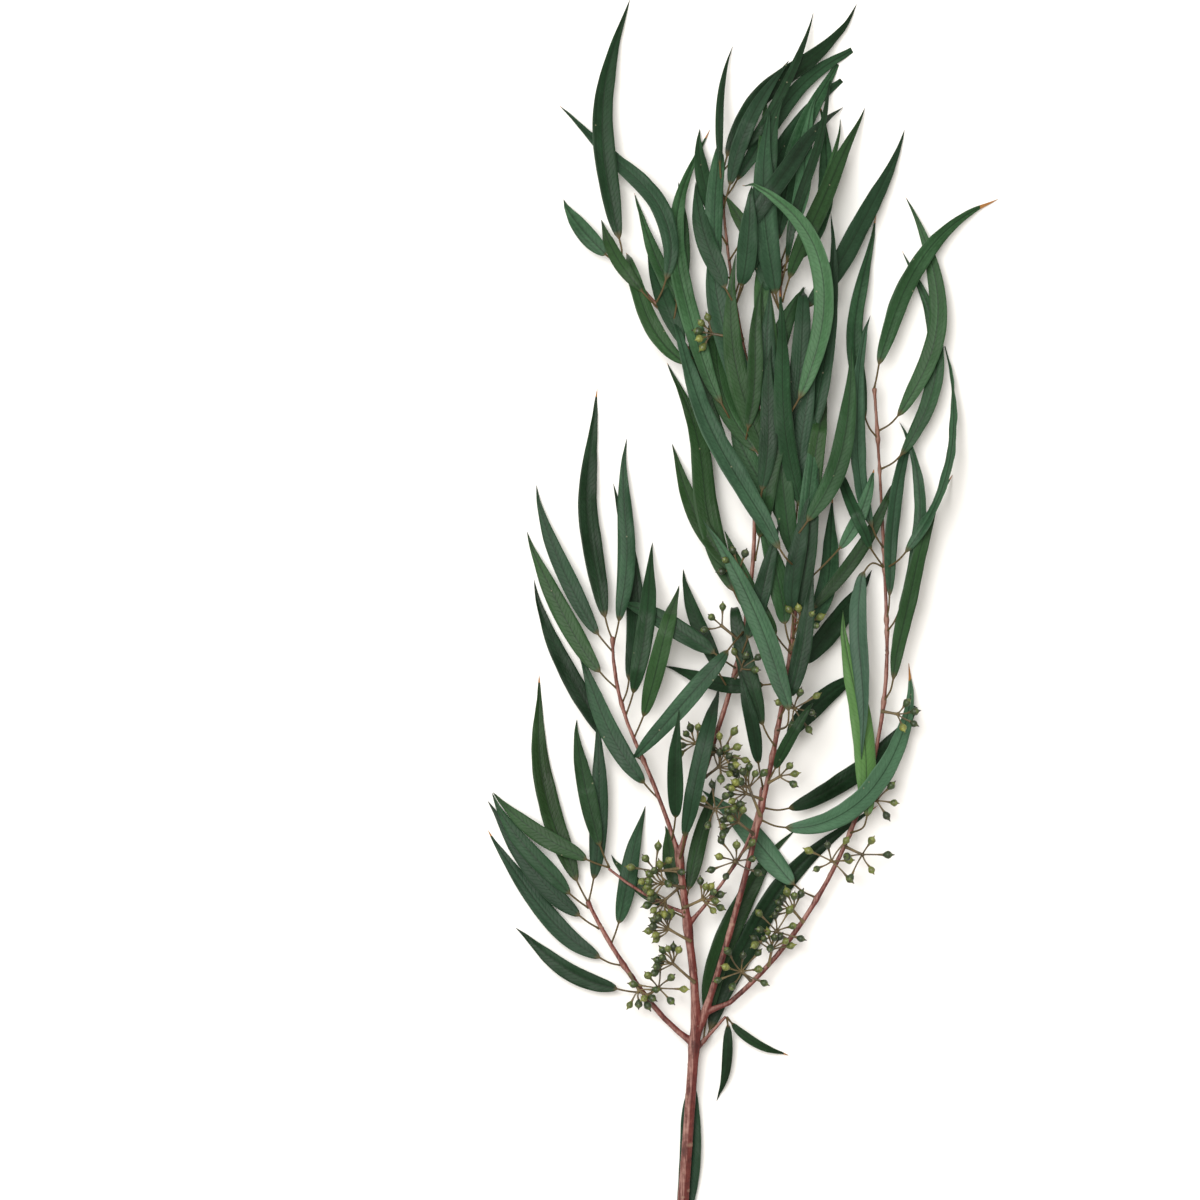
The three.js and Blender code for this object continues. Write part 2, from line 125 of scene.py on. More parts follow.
def placesOf(piece):
    places = np.zeros(len(piece.data.vertices) * 3)
    piece.data.vertices.foreach_get("co", places)
    return places.reshape(-1, 3)


def setPlaces(piece, places):
    piece.data.vertices.foreach_set("co", places.astype(np.float32).ravel())
    piece.data.update()


def setValues(piece, name, values):  # one number, or three, for each vertex
    values = np.asarray(values, np.float32)
    kind = "FLOAT_VECTOR" if values.ndim == 2 else "FLOAT"
    layer = piece.data.attributes.get(name) or piece.data.attributes.new(name, kind, "POINT")
    layer.data.foreach_set("vector" if values.ndim == 2 else "value", values.ravel())


def smoothAt(knots, values, places):  # a smooth line through the values, read at the places
    knots = np.asarray(knots, float)
    values = np.asarray(values, float)
    places = np.clip(places, knots[0], knots[-1])
    slopes = np.gradient(values, knots, axis=0)
    k = np.clip(np.searchsorted(knots, places, side="right") - 1, 0, len(knots) - 2)
    span = (knots[k + 1] - knots[k])[:, None]
    t = (places - knots[k])[:, None] / span
    start = values[k] * (2 * t**3 - 3 * t**2 + 1) + slopes[k] * span * (t**3 - 2 * t**2 + t)
    end = values[k + 1] * (3 * t**2 - 2 * t**3) + slopes[k + 1] * span * (t**3 - t**2)
    return start + end


def unit(rows):
    return rows / np.maximum(np.linalg.norm(rows, axis=1, keepdims=True), 1e-9)


def inPlan(heading, length):  # a heading is in degrees to the right of +Y
    turn = math.radians(heading)
    return Vector((math.sin(turn) * length, math.cos(turn) * length, 0))


def weldedShape(node):  # a CAD node with its loose triangles joined
    shape = bmesh.new()
    shape.from_mesh(nodes[node].data)
    bmesh.ops.remove_doubles(shape, verts=shape.verts, dist=0.002 * mm)
    shape.verts.index_update()
    return shape


def cornerSum(vert):
    return sum(corner.calc_angle() for corner in vert.link_loops)


def splitRing(ring, lastSide):  # middle of a four-cornered ring, and the vector to its right edge
    pairs = (((0, 1), (2, 3)), ((0, 2), (1, 3)), ((0, 3), (1, 2)))
    off = [((ring[a] + ring[b]) - (ring[c] + ring[d])).length for (a, b), (c, d) in pairs]
    choices = [(ring[b] - ring[a]) / 2 for a, b in pairs[off.index(min(off))]]
    if lastSide is None:
        side = max(choices, key=lambda half: half.length)
    else:
        side = max(choices, key=lambda half: abs(half.normalized().dot(lastSide)))
        side = side if side.dot(lastSide) > 0 else -side
    return sum(ring, Vector()) / 4, side


def readLeafLine(node):  # middle line of a leaf from its foot to its tip, with its right-hand half width
    stalkSteps = 2  # of the rings of a CAD leaf, the first three are its stalk
    shape = weldedShape(node)
    tip = min(shape.verts, key=cornerSum)
    centres = [tip.co.copy()]
    sides = []
    seen = {tip}
    front = [tip]
    while True:
        reached = {edge.other_vert(vert) for vert in front for edge in vert.link_edges} - seen
        if not reached:
            break
        front = sorted(reached, key=lambda vert: vert.index)
        seen |= reached
        centre, side = splitRing([vert.co.copy() for vert in front], sides[-1] if sides else None)
        if not sides and side.cross(centres[0] - centre).z < 0:
            side = -side
        centres.append(centre)
        sides.append(side)
    shape.free()
    sides.insert(0, sides[0])
    return leafLine(centres[::-1], sides[::-1], stalkSteps)


def leafLine(centres, sides, stalkSteps):
    centres = np.array(centres)
    sides = np.array(sides)
    steps = np.linalg.norm(np.diff(centres, axis=0), axis=1)
    along = np.concatenate([[0], np.cumsum(steps)])
    return {
        "centres": centres,
        "sides": unit(sides),
        "half": np.linalg.norm(sides, axis=1)[:-1].max(),
        "along": along,
        "stalk": along[stalkSteps],
    }


budSigns = {
    "sides": 5,
    "capEdge": (2.7 * mm, 3.2 * mm),  # from the point of a bud to the ring below it
    "capTurn": (205, 230),  # sum of the angles round the point, in degrees
    "depth": 3.3 * mm,  # from the point to the middle of the bud
}


def readBuds(node):  # hub of a cluster, and the middle and outward axis of each of its buds
    shape = weldedShape(node)
    shortest, longest = budSigns["capEdge"]
    sharpest, bluntest = budSigns["capTurn"]
    buds = []
    for vert in shape.verts:
        around = [edge.other_vert(vert).co for edge in vert.link_edges]
        reaches = [(place - vert.co).length for place in around]
        isCap = len(around) == budSigns["sides"] and shortest < min(reaches) and max(reaches) < longest
        if isCap and sharpest < math.degrees(cornerSum(vert)) < bluntest:
            axis = (vert.co - sum(around, Vector()) / budSigns["sides"]).normalized()
            buds.append((vert.co - axis * budSigns["depth"], axis))
    shape.free()

    # The hub is the place that the axes of the buds pass closest to
    pull = np.zeros((3, 3))
    aim = np.zeros(3)
    for middle, axis in buds:
        across = np.eye(3) - np.outer(axis, axis)
        pull += across
        aim += across @ np.array(middle)
    return Vector(np.linalg.solve(pull, aim)), buds


lowNames = sorted(name for name in nodes if name.startswith("low_leaf"))
highNames = sorted(name for name in nodes if name.startswith("leaf"))
clusterNames = sorted(name for name in nodes if name.startswith("bud_cluster"))
lines = {name: readLeafLine(name) for name in lowNames + highNames}
sprays = {name: readBuds(name) for name in clusterNames}
woodSource = nodes["stem_and_shoots"]
woodTree = BVHTree.FromObject(woodSource, bpy.context.evaluated_depsgraph_get())
woodPlaces = placesOf(woodSource)
lowest = woodPlaces[:, 1].min()
cutEnd = woodPlaces[woodPlaces[:, 1] < lowest + 1.5 * mm].mean(axis=0)
print("frame read:", len(lines), "leaves and", len(sprays), "bud clusters")


def onWood(place):  # the nearest place on the wood
    return woodTree.find_nearest(Vector(place))[0]


def woodHeading(place):  # which way the wood runs there, towards the tips
    reach = 22 * mm
    near = woodPlaces[np.linalg.norm(woodPlaces - np.array(place), axis=1) < reach]
    spread = near - near.mean(axis=0)
    run = np.linalg.eigh(spread.T @ spread)[1][:, -1]
    return Vector(run if run[1] > 0 else -run)


def fillInputs(tree, node, inputs):  # a socket is linked, anything else is a fixed value
    for key, value in inputs.items():
        if isinstance(value, bpy.types.NodeSocket):
            tree.links.new(value, node.inputs[key])
        else:
            node.inputs[key].default_value = value


def addNode(tree, kind, place, inputs=None, **settings):
    node = tree.nodes.new(kind)
    node.location = place
    for key, value in settings.items():
        setattr(node, key, value)
    fillInputs(tree, node, inputs or {})
    return node


def math2(tree, place, operation, first, second=0.0, clamp=False):
    inputs = {0: first, 1: second}
    return addNode(tree, "ShaderNodeMath", place, inputs, operation=operation, use_clamp=clamp).outputs[0]


def scaled(tree, place, value, share):
    return math2(tree, place, "MULTIPLY", value, share)


def fade(tree, place, value, start, end, low=0.0, high=1.0):
    inputs = {"Value": value, "From Min": start, "From Max": end, "To Min": low, "To Max": high}
    return addNode(tree, "ShaderNodeMapRange", place, inputs).outputs[0]


def blend(tree, place, share, first, second):
    inputs = {0: share, 6: first, 7: second}  # of the Mix node's sockets, 6 and 7 are its colours
    return addNode(tree, "ShaderNodeMix", place, inputs, data_type="RGBA").outputs[2]


def newGroup(name, inputs, outputs):  # an input with no value is a vector, and all others are numbers
    group = bpy.data.node_groups.new(name, "ShaderNodeTree")
    for socket, value in inputs.items():
        kind = "NodeSocketVector" if value is None else "NodeSocketFloat"
        made = group.interface.new_socket(socket, in_out="INPUT", socket_type=kind)
        if value is not None:
            made.default_value = value
    for socket in outputs:
        group.interface.new_socket(socket, in_out="OUTPUT", socket_type="NodeSocketFloat")
    start = addNode(group, "NodeGroupInput", (-900, 0))
    end = addNode(group, "NodeGroupOutput", (900, 0))
    return group, start.outputs, end.inputs


def useGroup(tree, group, place, inputs):
    node = addNode(tree, "ShaderNodeGroup", place, node_tree=group)
    fillInputs(tree, node, inputs)
    return node.outputs


# Uneven colour: broad patches with finer clouds in them
mottle, given, out = newGroup("mottle", {"Place": None, "Broad": 40.0, "Fine": 260.0}, ["Value"])
inputs = {"Vector": given["Place"], "Scale": given["Broad"], "Detail": 2.0, "Roughness": 0.5}
broad = addNode(mottle, "ShaderNodeTexNoise", (-500, 150), inputs)
inputs = {"Vector": given["Place"], "Scale": given["Fine"], "Detail": 4.0, "Roughness": 0.6}
fine = addNode(mottle, "ShaderNodeTexNoise", (-500, -150), inputs)
share = math2(mottle, (-200, 150), "MULTIPLY", broad.outputs["Fac"], 0.6)
rest = math2(mottle, (-200, -150), "MULTIPLY", fine.outputs["Fac"], 0.4)
both = math2(mottle, (50, 0), "ADD", share, rest)
mottle.links.new(fade(mottle, (300, 0), both, 0.34, 0.66), out["Value"])

# Small pale or dark dots, thinly scattered
inputs = {"Place": None, "Scale": 400.0, "Size": 0.16, "Amount": 0.1}
specks, given, out = newGroup("specks", inputs, ["Mask"])
inputs = {"Vector": given["Place"], "Scale": given["Scale"]}
cells = addNode(specks, "ShaderNodeTexVoronoi", (-500, 0), inputs)
draw = addNode(specks, "ShaderNodeSeparateColor", (-250, -200), {"Color": cells.outputs["Color"]})
chosen = math2(specks, (0, -200), "LESS_THAN", draw.outputs[0], given["Amount"])
dot = math2(specks, (0, 100), "LESS_THAN", cells.outputs["Distance"], given["Size"])
specks.links.new(math2(specks, (300, 0), "MULTIPLY", dot, chosen), out["Mask"])

# Fine lines that follow the length of a leaf or a shoot
grain, given, out = newGroup("grain", {"Place": None, "Across": 2200.0, "Along": 60.0}, ["Value"])
stretch = addNode(grain, "ShaderNodeCombineXYZ", (-600, -150),
                  {"X": given["Across"], "Y": given["Along"], "Z": given["Across"]})
inputs = {0: given["Place"], 1: stretch.outputs[0]}
drawn = addNode(grain, "ShaderNodeVectorMath", (-350, 0), inputs, operation="MULTIPLY")
inputs = {"Vector": drawn.outputs[0], "Scale": 1.0, "Detail": 3.0, "Roughness": 0.55, "Distortion": 0.3}
streak = addNode(grain, "ShaderNodeTexNoise", (-100, 0), inputs)
grain.links.new(fade(grain, (300, 0), streak.outputs["Fac"], 0.3, 0.7), out["Value"])

# Midrib, side veins, the vein that runs near the edge, and the edge itself
inputs = {"Side": 0.0, "Along": 0.0, "Share": 0.0, "Spacing": 2.9 * mm}
veins, given, out = newGroup("leafVeins", inputs, ["Midrib", "Veins", "Edge"])
side = math2(veins, (-700, 200), "ABSOLUTE", given["Side"])
veins.links.new(fade(veins, (500, 300), side, 0.18 * mm, 0.46 * mm, 1.0, 0.0), out["Midrib"])
wander = addNode(veins, "ShaderNodeCombineXYZ", (-700, -200), {"X": given["Side"], "Y": given["Along"]})
waver = addNode(veins, "ShaderNodeTexNoise", (-500, -200),
                {"Vector": wander.outputs[0], "Scale": 240.0, "Detail": 2.0})
lean = math2(veins, (-500, 100), "MULTIPLY", side, 1.3)
reach = math2(veins, (-300, 100), "SUBTRACT", given["Along"], lean)
turns = math2(veins, (-100, 100), "DIVIDE", reach, given["Spacing"])
turns = math2(veins, (0, 0), "ADD", turns, math2(veins, (-200, -200), "MULTIPLY", waver.outputs["Fac"], 1.6))
wave = math2(veins, (150, 0), "PINGPONG", turns, 0.5)
line = fade(veins, (300, 0), wave, 0.0, 0.15, 1.0, 0.0)
inner = fade(veins, (300, -200), given["Share"], 0.80, 0.86, 1.0, 0.0)
line = math2(veins, (450, 0), "MULTIPLY", line, inner)
rim = math2(veins, (150, -400), "ABSOLUTE", math2(veins, (0, -400), "SUBTRACT", given["Share"], 0.85))
rim = fade(veins, (300, -400), rim, 0.0, 0.035, 0.8, 0.0)
veins.links.new(math2(veins, (600, 0), "MAXIMUM", line, rim), out["Veins"])
veins.links.new(fade(veins, (600, -300), given["Share"], 0.92, 0.99), out["Edge"])


def newMaterial(name):
    material = bpy.data.materials.new(name)
    material.use_nodes = True
    tree = material.node_tree
    shader = tree.nodes["Principled BSDF"]
    shader.location = (1500, 0)
    tree.nodes["Material Output"].location = (1800, 0)
    return material, tree, shader


def readAttribute(tree, place, name):
    return addNode(tree, "ShaderNodeAttribute", place, attribute_name=name).outputs


def finishShader(tree, shader, colour, clouds, roughness, height, depth):
    inputs = {"Height": height, "Strength": 0.7, "Distance": depth}
    bump = addNode(tree, "ShaderNodeBump", (1250, -400), inputs)
    smoothest, roughest = roughness
    roughness = fade(tree, (900, -50), clouds, 0.0, 1.0, smoothest, roughest)
    tree.links.new(colour, shader.inputs["Base Color"])
    tree.links.new(roughness, shader.inputs["Roughness"])
    tree.links.new(bump.outputs[0], shader.inputs["Normal"])


leafPaint = {
    "dark": (0.0020, 0.0100, 0.0022, 1),
    "mid": (0.0150, 0.051, 0.0195, 1),
    "light": (0.070, 0.172, 0.082, 1),
    "yellowGreen": (0.095, 0.205, 0.036, 1),
    "blueGrey": (0.046, 0.078, 0.068, 1),
    "under": (0.100, 0.160, 0.105, 1),
    "midrib": (0.006, 0.016, 0.006, 1),
    "stalk": (0.085, 0.060, 0.024, 1),
    "dryTip": (0.330, 0.150, 0.045, 1),
    "speck": (0.230, 0.220, 0.140, 1),
    "veinShare": 0.20,
    "midribShare": 0.60,
    "edgeShare": 0.22,
    "underShare": 0.55,
    "speckShare": 0.5,
    "roughness": (0.40, 0.56),
    "relief": 0.16 * mm,
    "specular": 0.17,
}


def makeLeafMaterial():
    material, tree, shader = newMaterial("leafGreen")
    place = readAttribute(tree, (-1500, 300), "leafPlace")["Vector"]
    look = readAttribute(tree, (-1500, 0), "leafLook")["Vector"]
    blade = readAttribute(tree, (-1500, -300), "blade")["Fac"]
    under = readAttribute(tree, (-1500, -500), "underside")["Fac"]
    where = addNode(tree, "ShaderNodeSeparateXYZ", (-1250, 300), {0: place}).outputs
    kind = addNode(tree, "ShaderNodeSeparateXYZ", (-1250, 0), {0: look}).outputs
    lined = useGroup(tree, veins, (-950, 500), {"Side": where[0], "Along": where[1], "Share": where[2]})
    flat = addNode(tree, "ShaderNodeCombineXYZ", (-1100, 250), {"X": where[0], "Y": where[1]}).outputs[0]
    clouds = useGroup(tree, mottle, (-950, 250), {"Place": flat, "Broad": 34.0, "Fine": 420.0})["Value"]
    bands = useGroup(tree, grain, (-950, 0), {"Place": flat, "Across": 620.0, "Along": 14.0})["Value"]
    inputs = {"Place": flat, "Scale": 260.0, "Size": 0.12, "Amount": 0.04}
    dots = useGroup(tree, specks, (-950, -200), inputs)["Mask"]

    # From dark to light, with uneven patches and lengthwise bands
    tone = math2(tree, (-700, 250), "ADD", kind[0], scaled(tree, (-850, 150), clouds, 0.24))
    tone = math2(tree, (-550, 250), "ADD", tone, scaled(tree, (-700, 50), bands, 0.20))
    tone = math2(tree, (-400, 250), "SUBTRACT", tone, 0.22)
    ramp = addNode(tree, "ShaderNodeValToRGB", (-250, 250), {0: tone})
    ramp.color_ramp.elements[0].color = leafPaint["dark"]
    ramp.color_ramp.elements[1].color = leafPaint["light"]
    ramp.color_ramp.elements.new(0.5).color = leafPaint["mid"]
    colour = ramp.outputs[0]
    bright = fade(tree, (-400, -300), tone, 0.0, 1.0, 0.35, 1.0)
    warm = math2(tree, (-400, 0), "MULTIPLY", kind[1], 0.8, clamp=True)
    warm = scaled(tree, (-200, 0), warm, bright)
    cool = math2(tree, (-400, -150), "MULTIPLY", kind[1], -0.8, clamp=True)
    cool = scaled(tree, (-200, -150), cool, bright)
    pale = scaled(tree, (150, 50), under, leafPaint["underShare"])
    colour = blend(tree, (0, 250), warm, colour, leafPaint["yellowGreen"])
    colour = blend(tree, (150, 250), cool, colour, leafPaint["blueGrey"])
    colour = blend(tree, (300, 250), pale, colour, leafPaint["under"])

    # Veins and midrib darker, edge a little lighter, and scattered pale dots
    ribs = scaled(tree, (300, 500), lined["Veins"], leafPaint["veinShare"])
    colour = blend(tree, (450, 250), ribs, colour, leafPaint["dark"])
    midrib = scaled(tree, (450, 500), lined["Midrib"], leafPaint["midribShare"])
    colour = blend(tree, (600, 250), midrib, colour, leafPaint["midrib"])
    edge = scaled(tree, (600, 500), lined["Edge"], leafPaint["edgeShare"])
    colour = blend(tree, (750, 250), edge, colour, leafPaint["under"])
    speck = scaled(tree, (700, 50), dots, leafPaint["speckShare"])
    colour = blend(tree, (850, 250), speck, colour, leafPaint["speck"])

    # Stalk, and the dried tip
    stalk = fade(tree, (700, -100), blade, 0.0, 0.035, 1.0, 0.0)
    colour = blend(tree, (950, 250), stalk, colour, leafPaint["stalk"])
    frayed = scaled(tree, (500, -300), clouds, 0.03)
    dryFrom = math2(tree, (500, -450), "SUBTRACT", 1.03, scaled(tree, (350, -450), kind[2], 0.11))
    dry = math2(tree, (700, -350), "GREATER_THAN", math2(tree, (600, -300), "ADD", blade, frayed), dryFrom)
    isDry = math2(tree, (800, -450), "GREATER_THAN", kind[2], 0.05)
    colour = blend(tree, (1100, 250), scaled(tree, (900, -350), dry, isDry), colour, leafPaint["dryTip"])

    height = scaled(tree, (700, -600), lined["Veins"], -0.5)
    height = math2(tree, (850, -600), "ADD", height, scaled(tree, (700, -750), bands, 0.9))
    height = math2(tree, (1000, -600), "ADD", height, scaled(tree, (850, -750), clouds, 0.5))
    finishShader(tree, shader, colour, clouds, leafPaint["roughness"], height, leafPaint["relief"])
    shader.inputs["Specular IOR Level"].default_value = leafPaint["specular"]
    return material


barkPaint = {
    "shade": (0.026, 0.006, 0.006, 1),
    "red": (0.122, 0.025, 0.020, 1),
    "pink": (0.225, 0.080, 0.062, 1),
    "twig": (0.110, 0.044, 0.020, 1),
    # the pale colour is a painted highlight for the side that faces the lamp
    "paintedHighlight": (0.400, 0.245, 0.205, 1),
    "scar": (0.300, 0.190, 0.135, 1),
    "cutWood": (0.480, 0.365, 0.230, 1),
    "twigShare": 0.75,
    "speckShare": 0.35,
    "scarShare": 0.6,
    "roughness": (0.46, 0.70),
    "relief": 0.30 * mm,
    "specular": 0.26,
}


def makeBarkMaterial():
    material, tree, shader = newMaterial("barkRed")
    place = addNode(tree, "ShaderNodeTexCoord", (-1500, 200)).outputs["Object"]
    look = readAttribute(tree, (-1500, -200), "woodLook")["Vector"]
    facingLamp = readAttribute(tree, (-1500, -400), "woodFacingLamp")["Fac"]
    kind = addNode(tree, "ShaderNodeSeparateXYZ", (-1250, -200), {0: look}).outputs
    clouds = useGroup(tree, mottle, (-950, 300), {"Place": place, "Broad": 70.0, "Fine": 420.0})["Value"]
    lined = useGroup(tree, grain, (-950, 50), {"Place": place, "Across": 1300.0, "Along": 75.0})["Value"]
    inputs = {"Place": place, "Scale": 430.0, "Size": 0.2, "Amount": 0.16}
    dots = useGroup(tree, specks, (-950, -200), inputs)["Mask"]
    tone = scaled(tree, (-600, 250), clouds, 0.62)
    tone = math2(tree, (-450, 250), "ADD", tone, scaled(tree, (-600, 50), lined, 0.36))
    ramp = addNode(tree, "ShaderNodeValToRGB", (-300, 250), {0: tone})
    ramp.color_ramp.elements[0].color = barkPaint["shade"]
    ramp.color_ramp.elements[1].color = barkPaint["pink"]
    ramp.color_ramp.elements.new(0.5).color = barkPaint["red"]
    thin = scaled(tree, (0, 50), kind[0], barkPaint["twigShare"])
    colour = blend(tree, (150, 250), thin, ramp.outputs[0], barkPaint["twig"])

    # Painted highlight on the paler, streaky upper left side that faces the lamp, and painted shade on the
    # darker right side
    both = math2(tree, (-450, -300), "ADD", lined, clouds)
    streak = fade(tree, (-300, -300), both, 0.60, 1.40, 0.10, 0.75)
    pale = scaled(tree, (0, -200), fade(tree, (-150, -200), facingLamp, 0.45, 1.0), streak)
    colour = blend(tree, (250, 250), pale, colour, barkPaint["paintedHighlight"])
    shaded = fade(tree, (100, -400), facingLamp, -0.7, 0.2, 0.6, 0.0)
    colour = blend(tree, (350, 250), shaded, colour, barkPaint["shade"])
    speck = scaled(tree, (300, 50), dots, barkPaint["speckShare"])
    colour = blend(tree, (450, 250), speck, colour, barkPaint["scar"])
    scar = scaled(tree, (400, 50), kind[1], barkPaint["scarShare"])
    colour = blend(tree, (550, 250), scar, colour, barkPaint["scar"])
    colour = blend(tree, (650, 250), kind[2], colour, barkPaint["cutWood"])
    height = math2(tree, (700, -600), "ADD", scaled(tree, (550, -600), lined, 0.7), clouds)
    height = math2(tree, (850, -600), "ADD", height, scaled(tree, (700, -750), dots, 0.8))
    finishShader(tree, shader, colour, clouds, barkPaint["roughness"], height, barkPaint["relief"])
    shader.inputs["Specular IOR Level"].default_value = barkPaint["specular"]
    return material


budPaint = {
    "foot": (0.030, 0.038, 0.014, 1),
    "body": (0.034, 0.062, 0.018, 1),
    "cap": (0.082, 0.120, 0.026, 1),
    "rim": (0.032, 0.026, 0.012, 1),
    "beak": (0.022, 0.014, 0.008, 1),
    # gold is partly the buds' own yellow and partly painted highlight, and shade is painted shade for the
    # darkest buds
    "gold": (0.300, 0.310, 0.060, 1),
    "shade": (0.012, 0.018, 0.010, 1),
    "ray": (0.165, 0.118, 0.046, 1),
    "rayShade": (0.042, 0.030, 0.014, 1),
    # where along a bud each colour stands, from its foot to its beak
    "stops": ((0.25, "body"), (0.54, "body"), (0.60, "rim"), (0.66, "cap"), (0.78, "cap"), (0.86, "beak")),
    "speckShare": 0.5,
    "roughness": (0.34, 0.54),
    "rayRoughness": (0.48, 0.66),
    "relief": 0.15 * mm,
}


def makeBudMaterial():
    material, tree, shader = newMaterial("budGreen")
    place = addNode(tree, "ShaderNodeTexCoord", (-1500, 200)).outputs["Object"]
    rise = readAttribute(tree, (-1500, -200), "budRise")["Fac"]
    budDrawn = readAttribute(tree, (-1500, -400), "budDraw")["Fac"]
    clouds = useGroup(tree, mottle, (-950, 300), {"Place": place, "Broad": 160.0, "Fine": 800.0})["Value"]
    inputs = {"Place": place, "Scale": 900.0, "Size": 0.2, "Amount": 0.2}
    dots = useGroup(tree, specks, (-950, -200), inputs)["Mask"]
    ramp = addNode(tree, "ShaderNodeValToRGB", (-600, 200), {0: rise})
    ramp.color_ramp.elements[0].color = budPaint["foot"]
    ramp.color_ramp.elements[1].color = budPaint["beak"]
    for stop, name in budPaint["stops"]:
        ramp.color_ramp.elements.new(stop).color = budPaint[name]
    # A random draw for each bud: a high one brings gold patches, partly the buds' own yellow and partly
    # painted highlight, and a low one darkens it with painted shade
    pale = scaled(tree, (-450, 0), clouds, fade(tree, (-600, -100), budDrawn, 0.45, 1.0, 0.0, 0.85))
    colour = blend(tree, (-250, 200), pale, ramp.outputs[0], budPaint["gold"])
    budShadeShare = fade(tree, (-450, -250), budDrawn, 0.0, 0.45, 0.75, 0.0)
    colour = blend(tree, (-100, 200), budShadeShare, colour, budPaint["shade"])
    speck = scaled(tree, (-50, 0), dots, budPaint["speckShare"])
    colour = blend(tree, (100, 200), speck, colour, budPaint["foot"])
    height = math2(tree, (700, -600), "ADD", clouds, scaled(tree, (550, -600), dots, -0.6))
    finishShader(tree, shader, colour, clouds, budPaint["roughness"], height, budPaint["relief"])
    return material


def makeRayMaterial():
    material, tree, shader = newMaterial("budStalk")
    place = addNode(tree, "ShaderNodeTexCoord", (-1500, 200)).outputs["Object"]
    clouds = useGroup(tree, mottle, (-950, 300), {"Place": place, "Broad": 110.0, "Fine": 700.0})["Value"]
    colour = blend(tree, (0, 200), clouds, budPaint["rayShade"], budPaint["ray"])
    finishShader(tree, shader, colour, clouds, budPaint["rayRoughness"], clouds, budPaint["relief"])
    return material


leafGreen = makeLeafMaterial()
barkRed = makeBarkMaterial()
budGreen = makeBudMaterial()
budStalk = makeRayMaterial()
print("materials made")


# The leaf blank is half a width each way in X, foot to tip in Y, with its two faces at -1 and 1 in Z
leafForm = {
    "columns": 10,
    "stalkRows": 8,
    "bladeRows": 52,
    "thick": 0.17 * mm,  # from the middle to either face
    "edge": 0.4,  # share of that left at the edge
    "groove": 0.6,  # depth of the groove over the midrib, and of the ridge under it, in the same measure
    "ridge": 1.7,
    "stalk": 0.46 * mm,
    "sunk": 0.4 * mm,  # how far the stalk starts inside the wood
    "footFlare": 0.45,  # how much thicker the stalk is where it leaves the wood
    "footLength": 3 * mm,
    "widest": 0.66,  # below 1 the blade is widest nearer to its foot
    "bluntness": 0.76,
    "taper": 0.40,  # the last third is drawn out to the tip
    "taperFrom": 0.66,
    "uneven": 0.05,
    "unevenLength": 9 * mm,
    "fold": 10.0,  # degrees that each half rises from the midrib
    "twist": 5.0,
    "twistLength": 21 * mm,
    "cup": 0.10,
    "sway": 0.8 * mm,
    "swayLength": (13 * mm, 21 * mm),
    "ripple": 0.42 * mm,
    "rippleLength": 27 * mm,
    "clear": 0.25 * mm,  # lowest height of the upper face
    "lowest": 0.04 * mm,
    "patternShift": 0.31,  # so that no two leaves have the same pattern
}


def makeLeafBlank():
    rows = leafForm["stalkRows"] + leafForm["bladeRows"]
    bpy.ops.mesh.primitive_grid_add(x_subdivisions=leafForm["columns"], y_subdivisions=rows, size=2)
    blank = bpy.context.active_object
    blank.name = "leafBlank"
    bpy.ops.object.mode_set(mode="EDIT")
    bpy.ops.mesh.select_all(action="SELECT")
    bpy.ops.transform.translate(value=(0, 1, 0))
    bpy.ops.transform.resize(value=(1, 0.5, 1), center_override=(0, 0, 0))
    bpy.ops.object.mode_set(mode="OBJECT")
    applyModifier(blank, "SOLIDIFY", thickness=2, offset=0)
    bpy.ops.object.mode_set(mode="EDIT")
    pickVerts(lambda place: abs(place.x) > 0.99)  # both edges
    bpy.ops.transform.resize(value=(1, 1, leafForm["edge"]), center_override=(0, 0, 0))
    pickVerts(lambda place: abs(place.x) < 0.01 and place.z > 0)  # along the upper midrib
    bpy.ops.transform.translate(value=(0, 0, -leafForm["groove"]))
    pickVerts(lambda place: abs(place.x) < 0.01 and place.z < -0.5)  # along the lower midrib
    bpy.ops.transform.translate(value=(0, 0, -leafForm["ridge"]))
    bpy.ops.object.mode_set(mode="OBJECT")
    bpy.ops.object.shade_smooth()
    return blank


def bladeSwell(blade):  # share of the full width at each share of the blade's length
    body = np.sin(np.pi * np.clip(blade, 0, 1) ** leafForm["widest"]) ** leafForm["bluntness"]
    drawn = np.clip((blade - leafForm["taperFrom"]) / (1 - leafForm["taperFrom"]), 0, 1)
    return body * (1 - leafForm["taper"] * drawn)


def leafRipple(x, place, draw):  # waves of the two edges, each with its own beat
    wave = np.zeros(len(x))
    for direction in (-1, 1):
        phase = draw.uniform(0, 6.28)
        beat = leafForm["rippleLength"] * draw.uniform(0.8, 1.3)
        swing = np.sin(place * 6.283 / beat + phase) + 0.45 * np.sin(place * 14.6 / beat + phase * 2.3)
        wave += np.where(np.sign(x) == direction, swing, 0) * leafForm["ripple"] * draw.uniform(0.5, 1.2)
    return wave


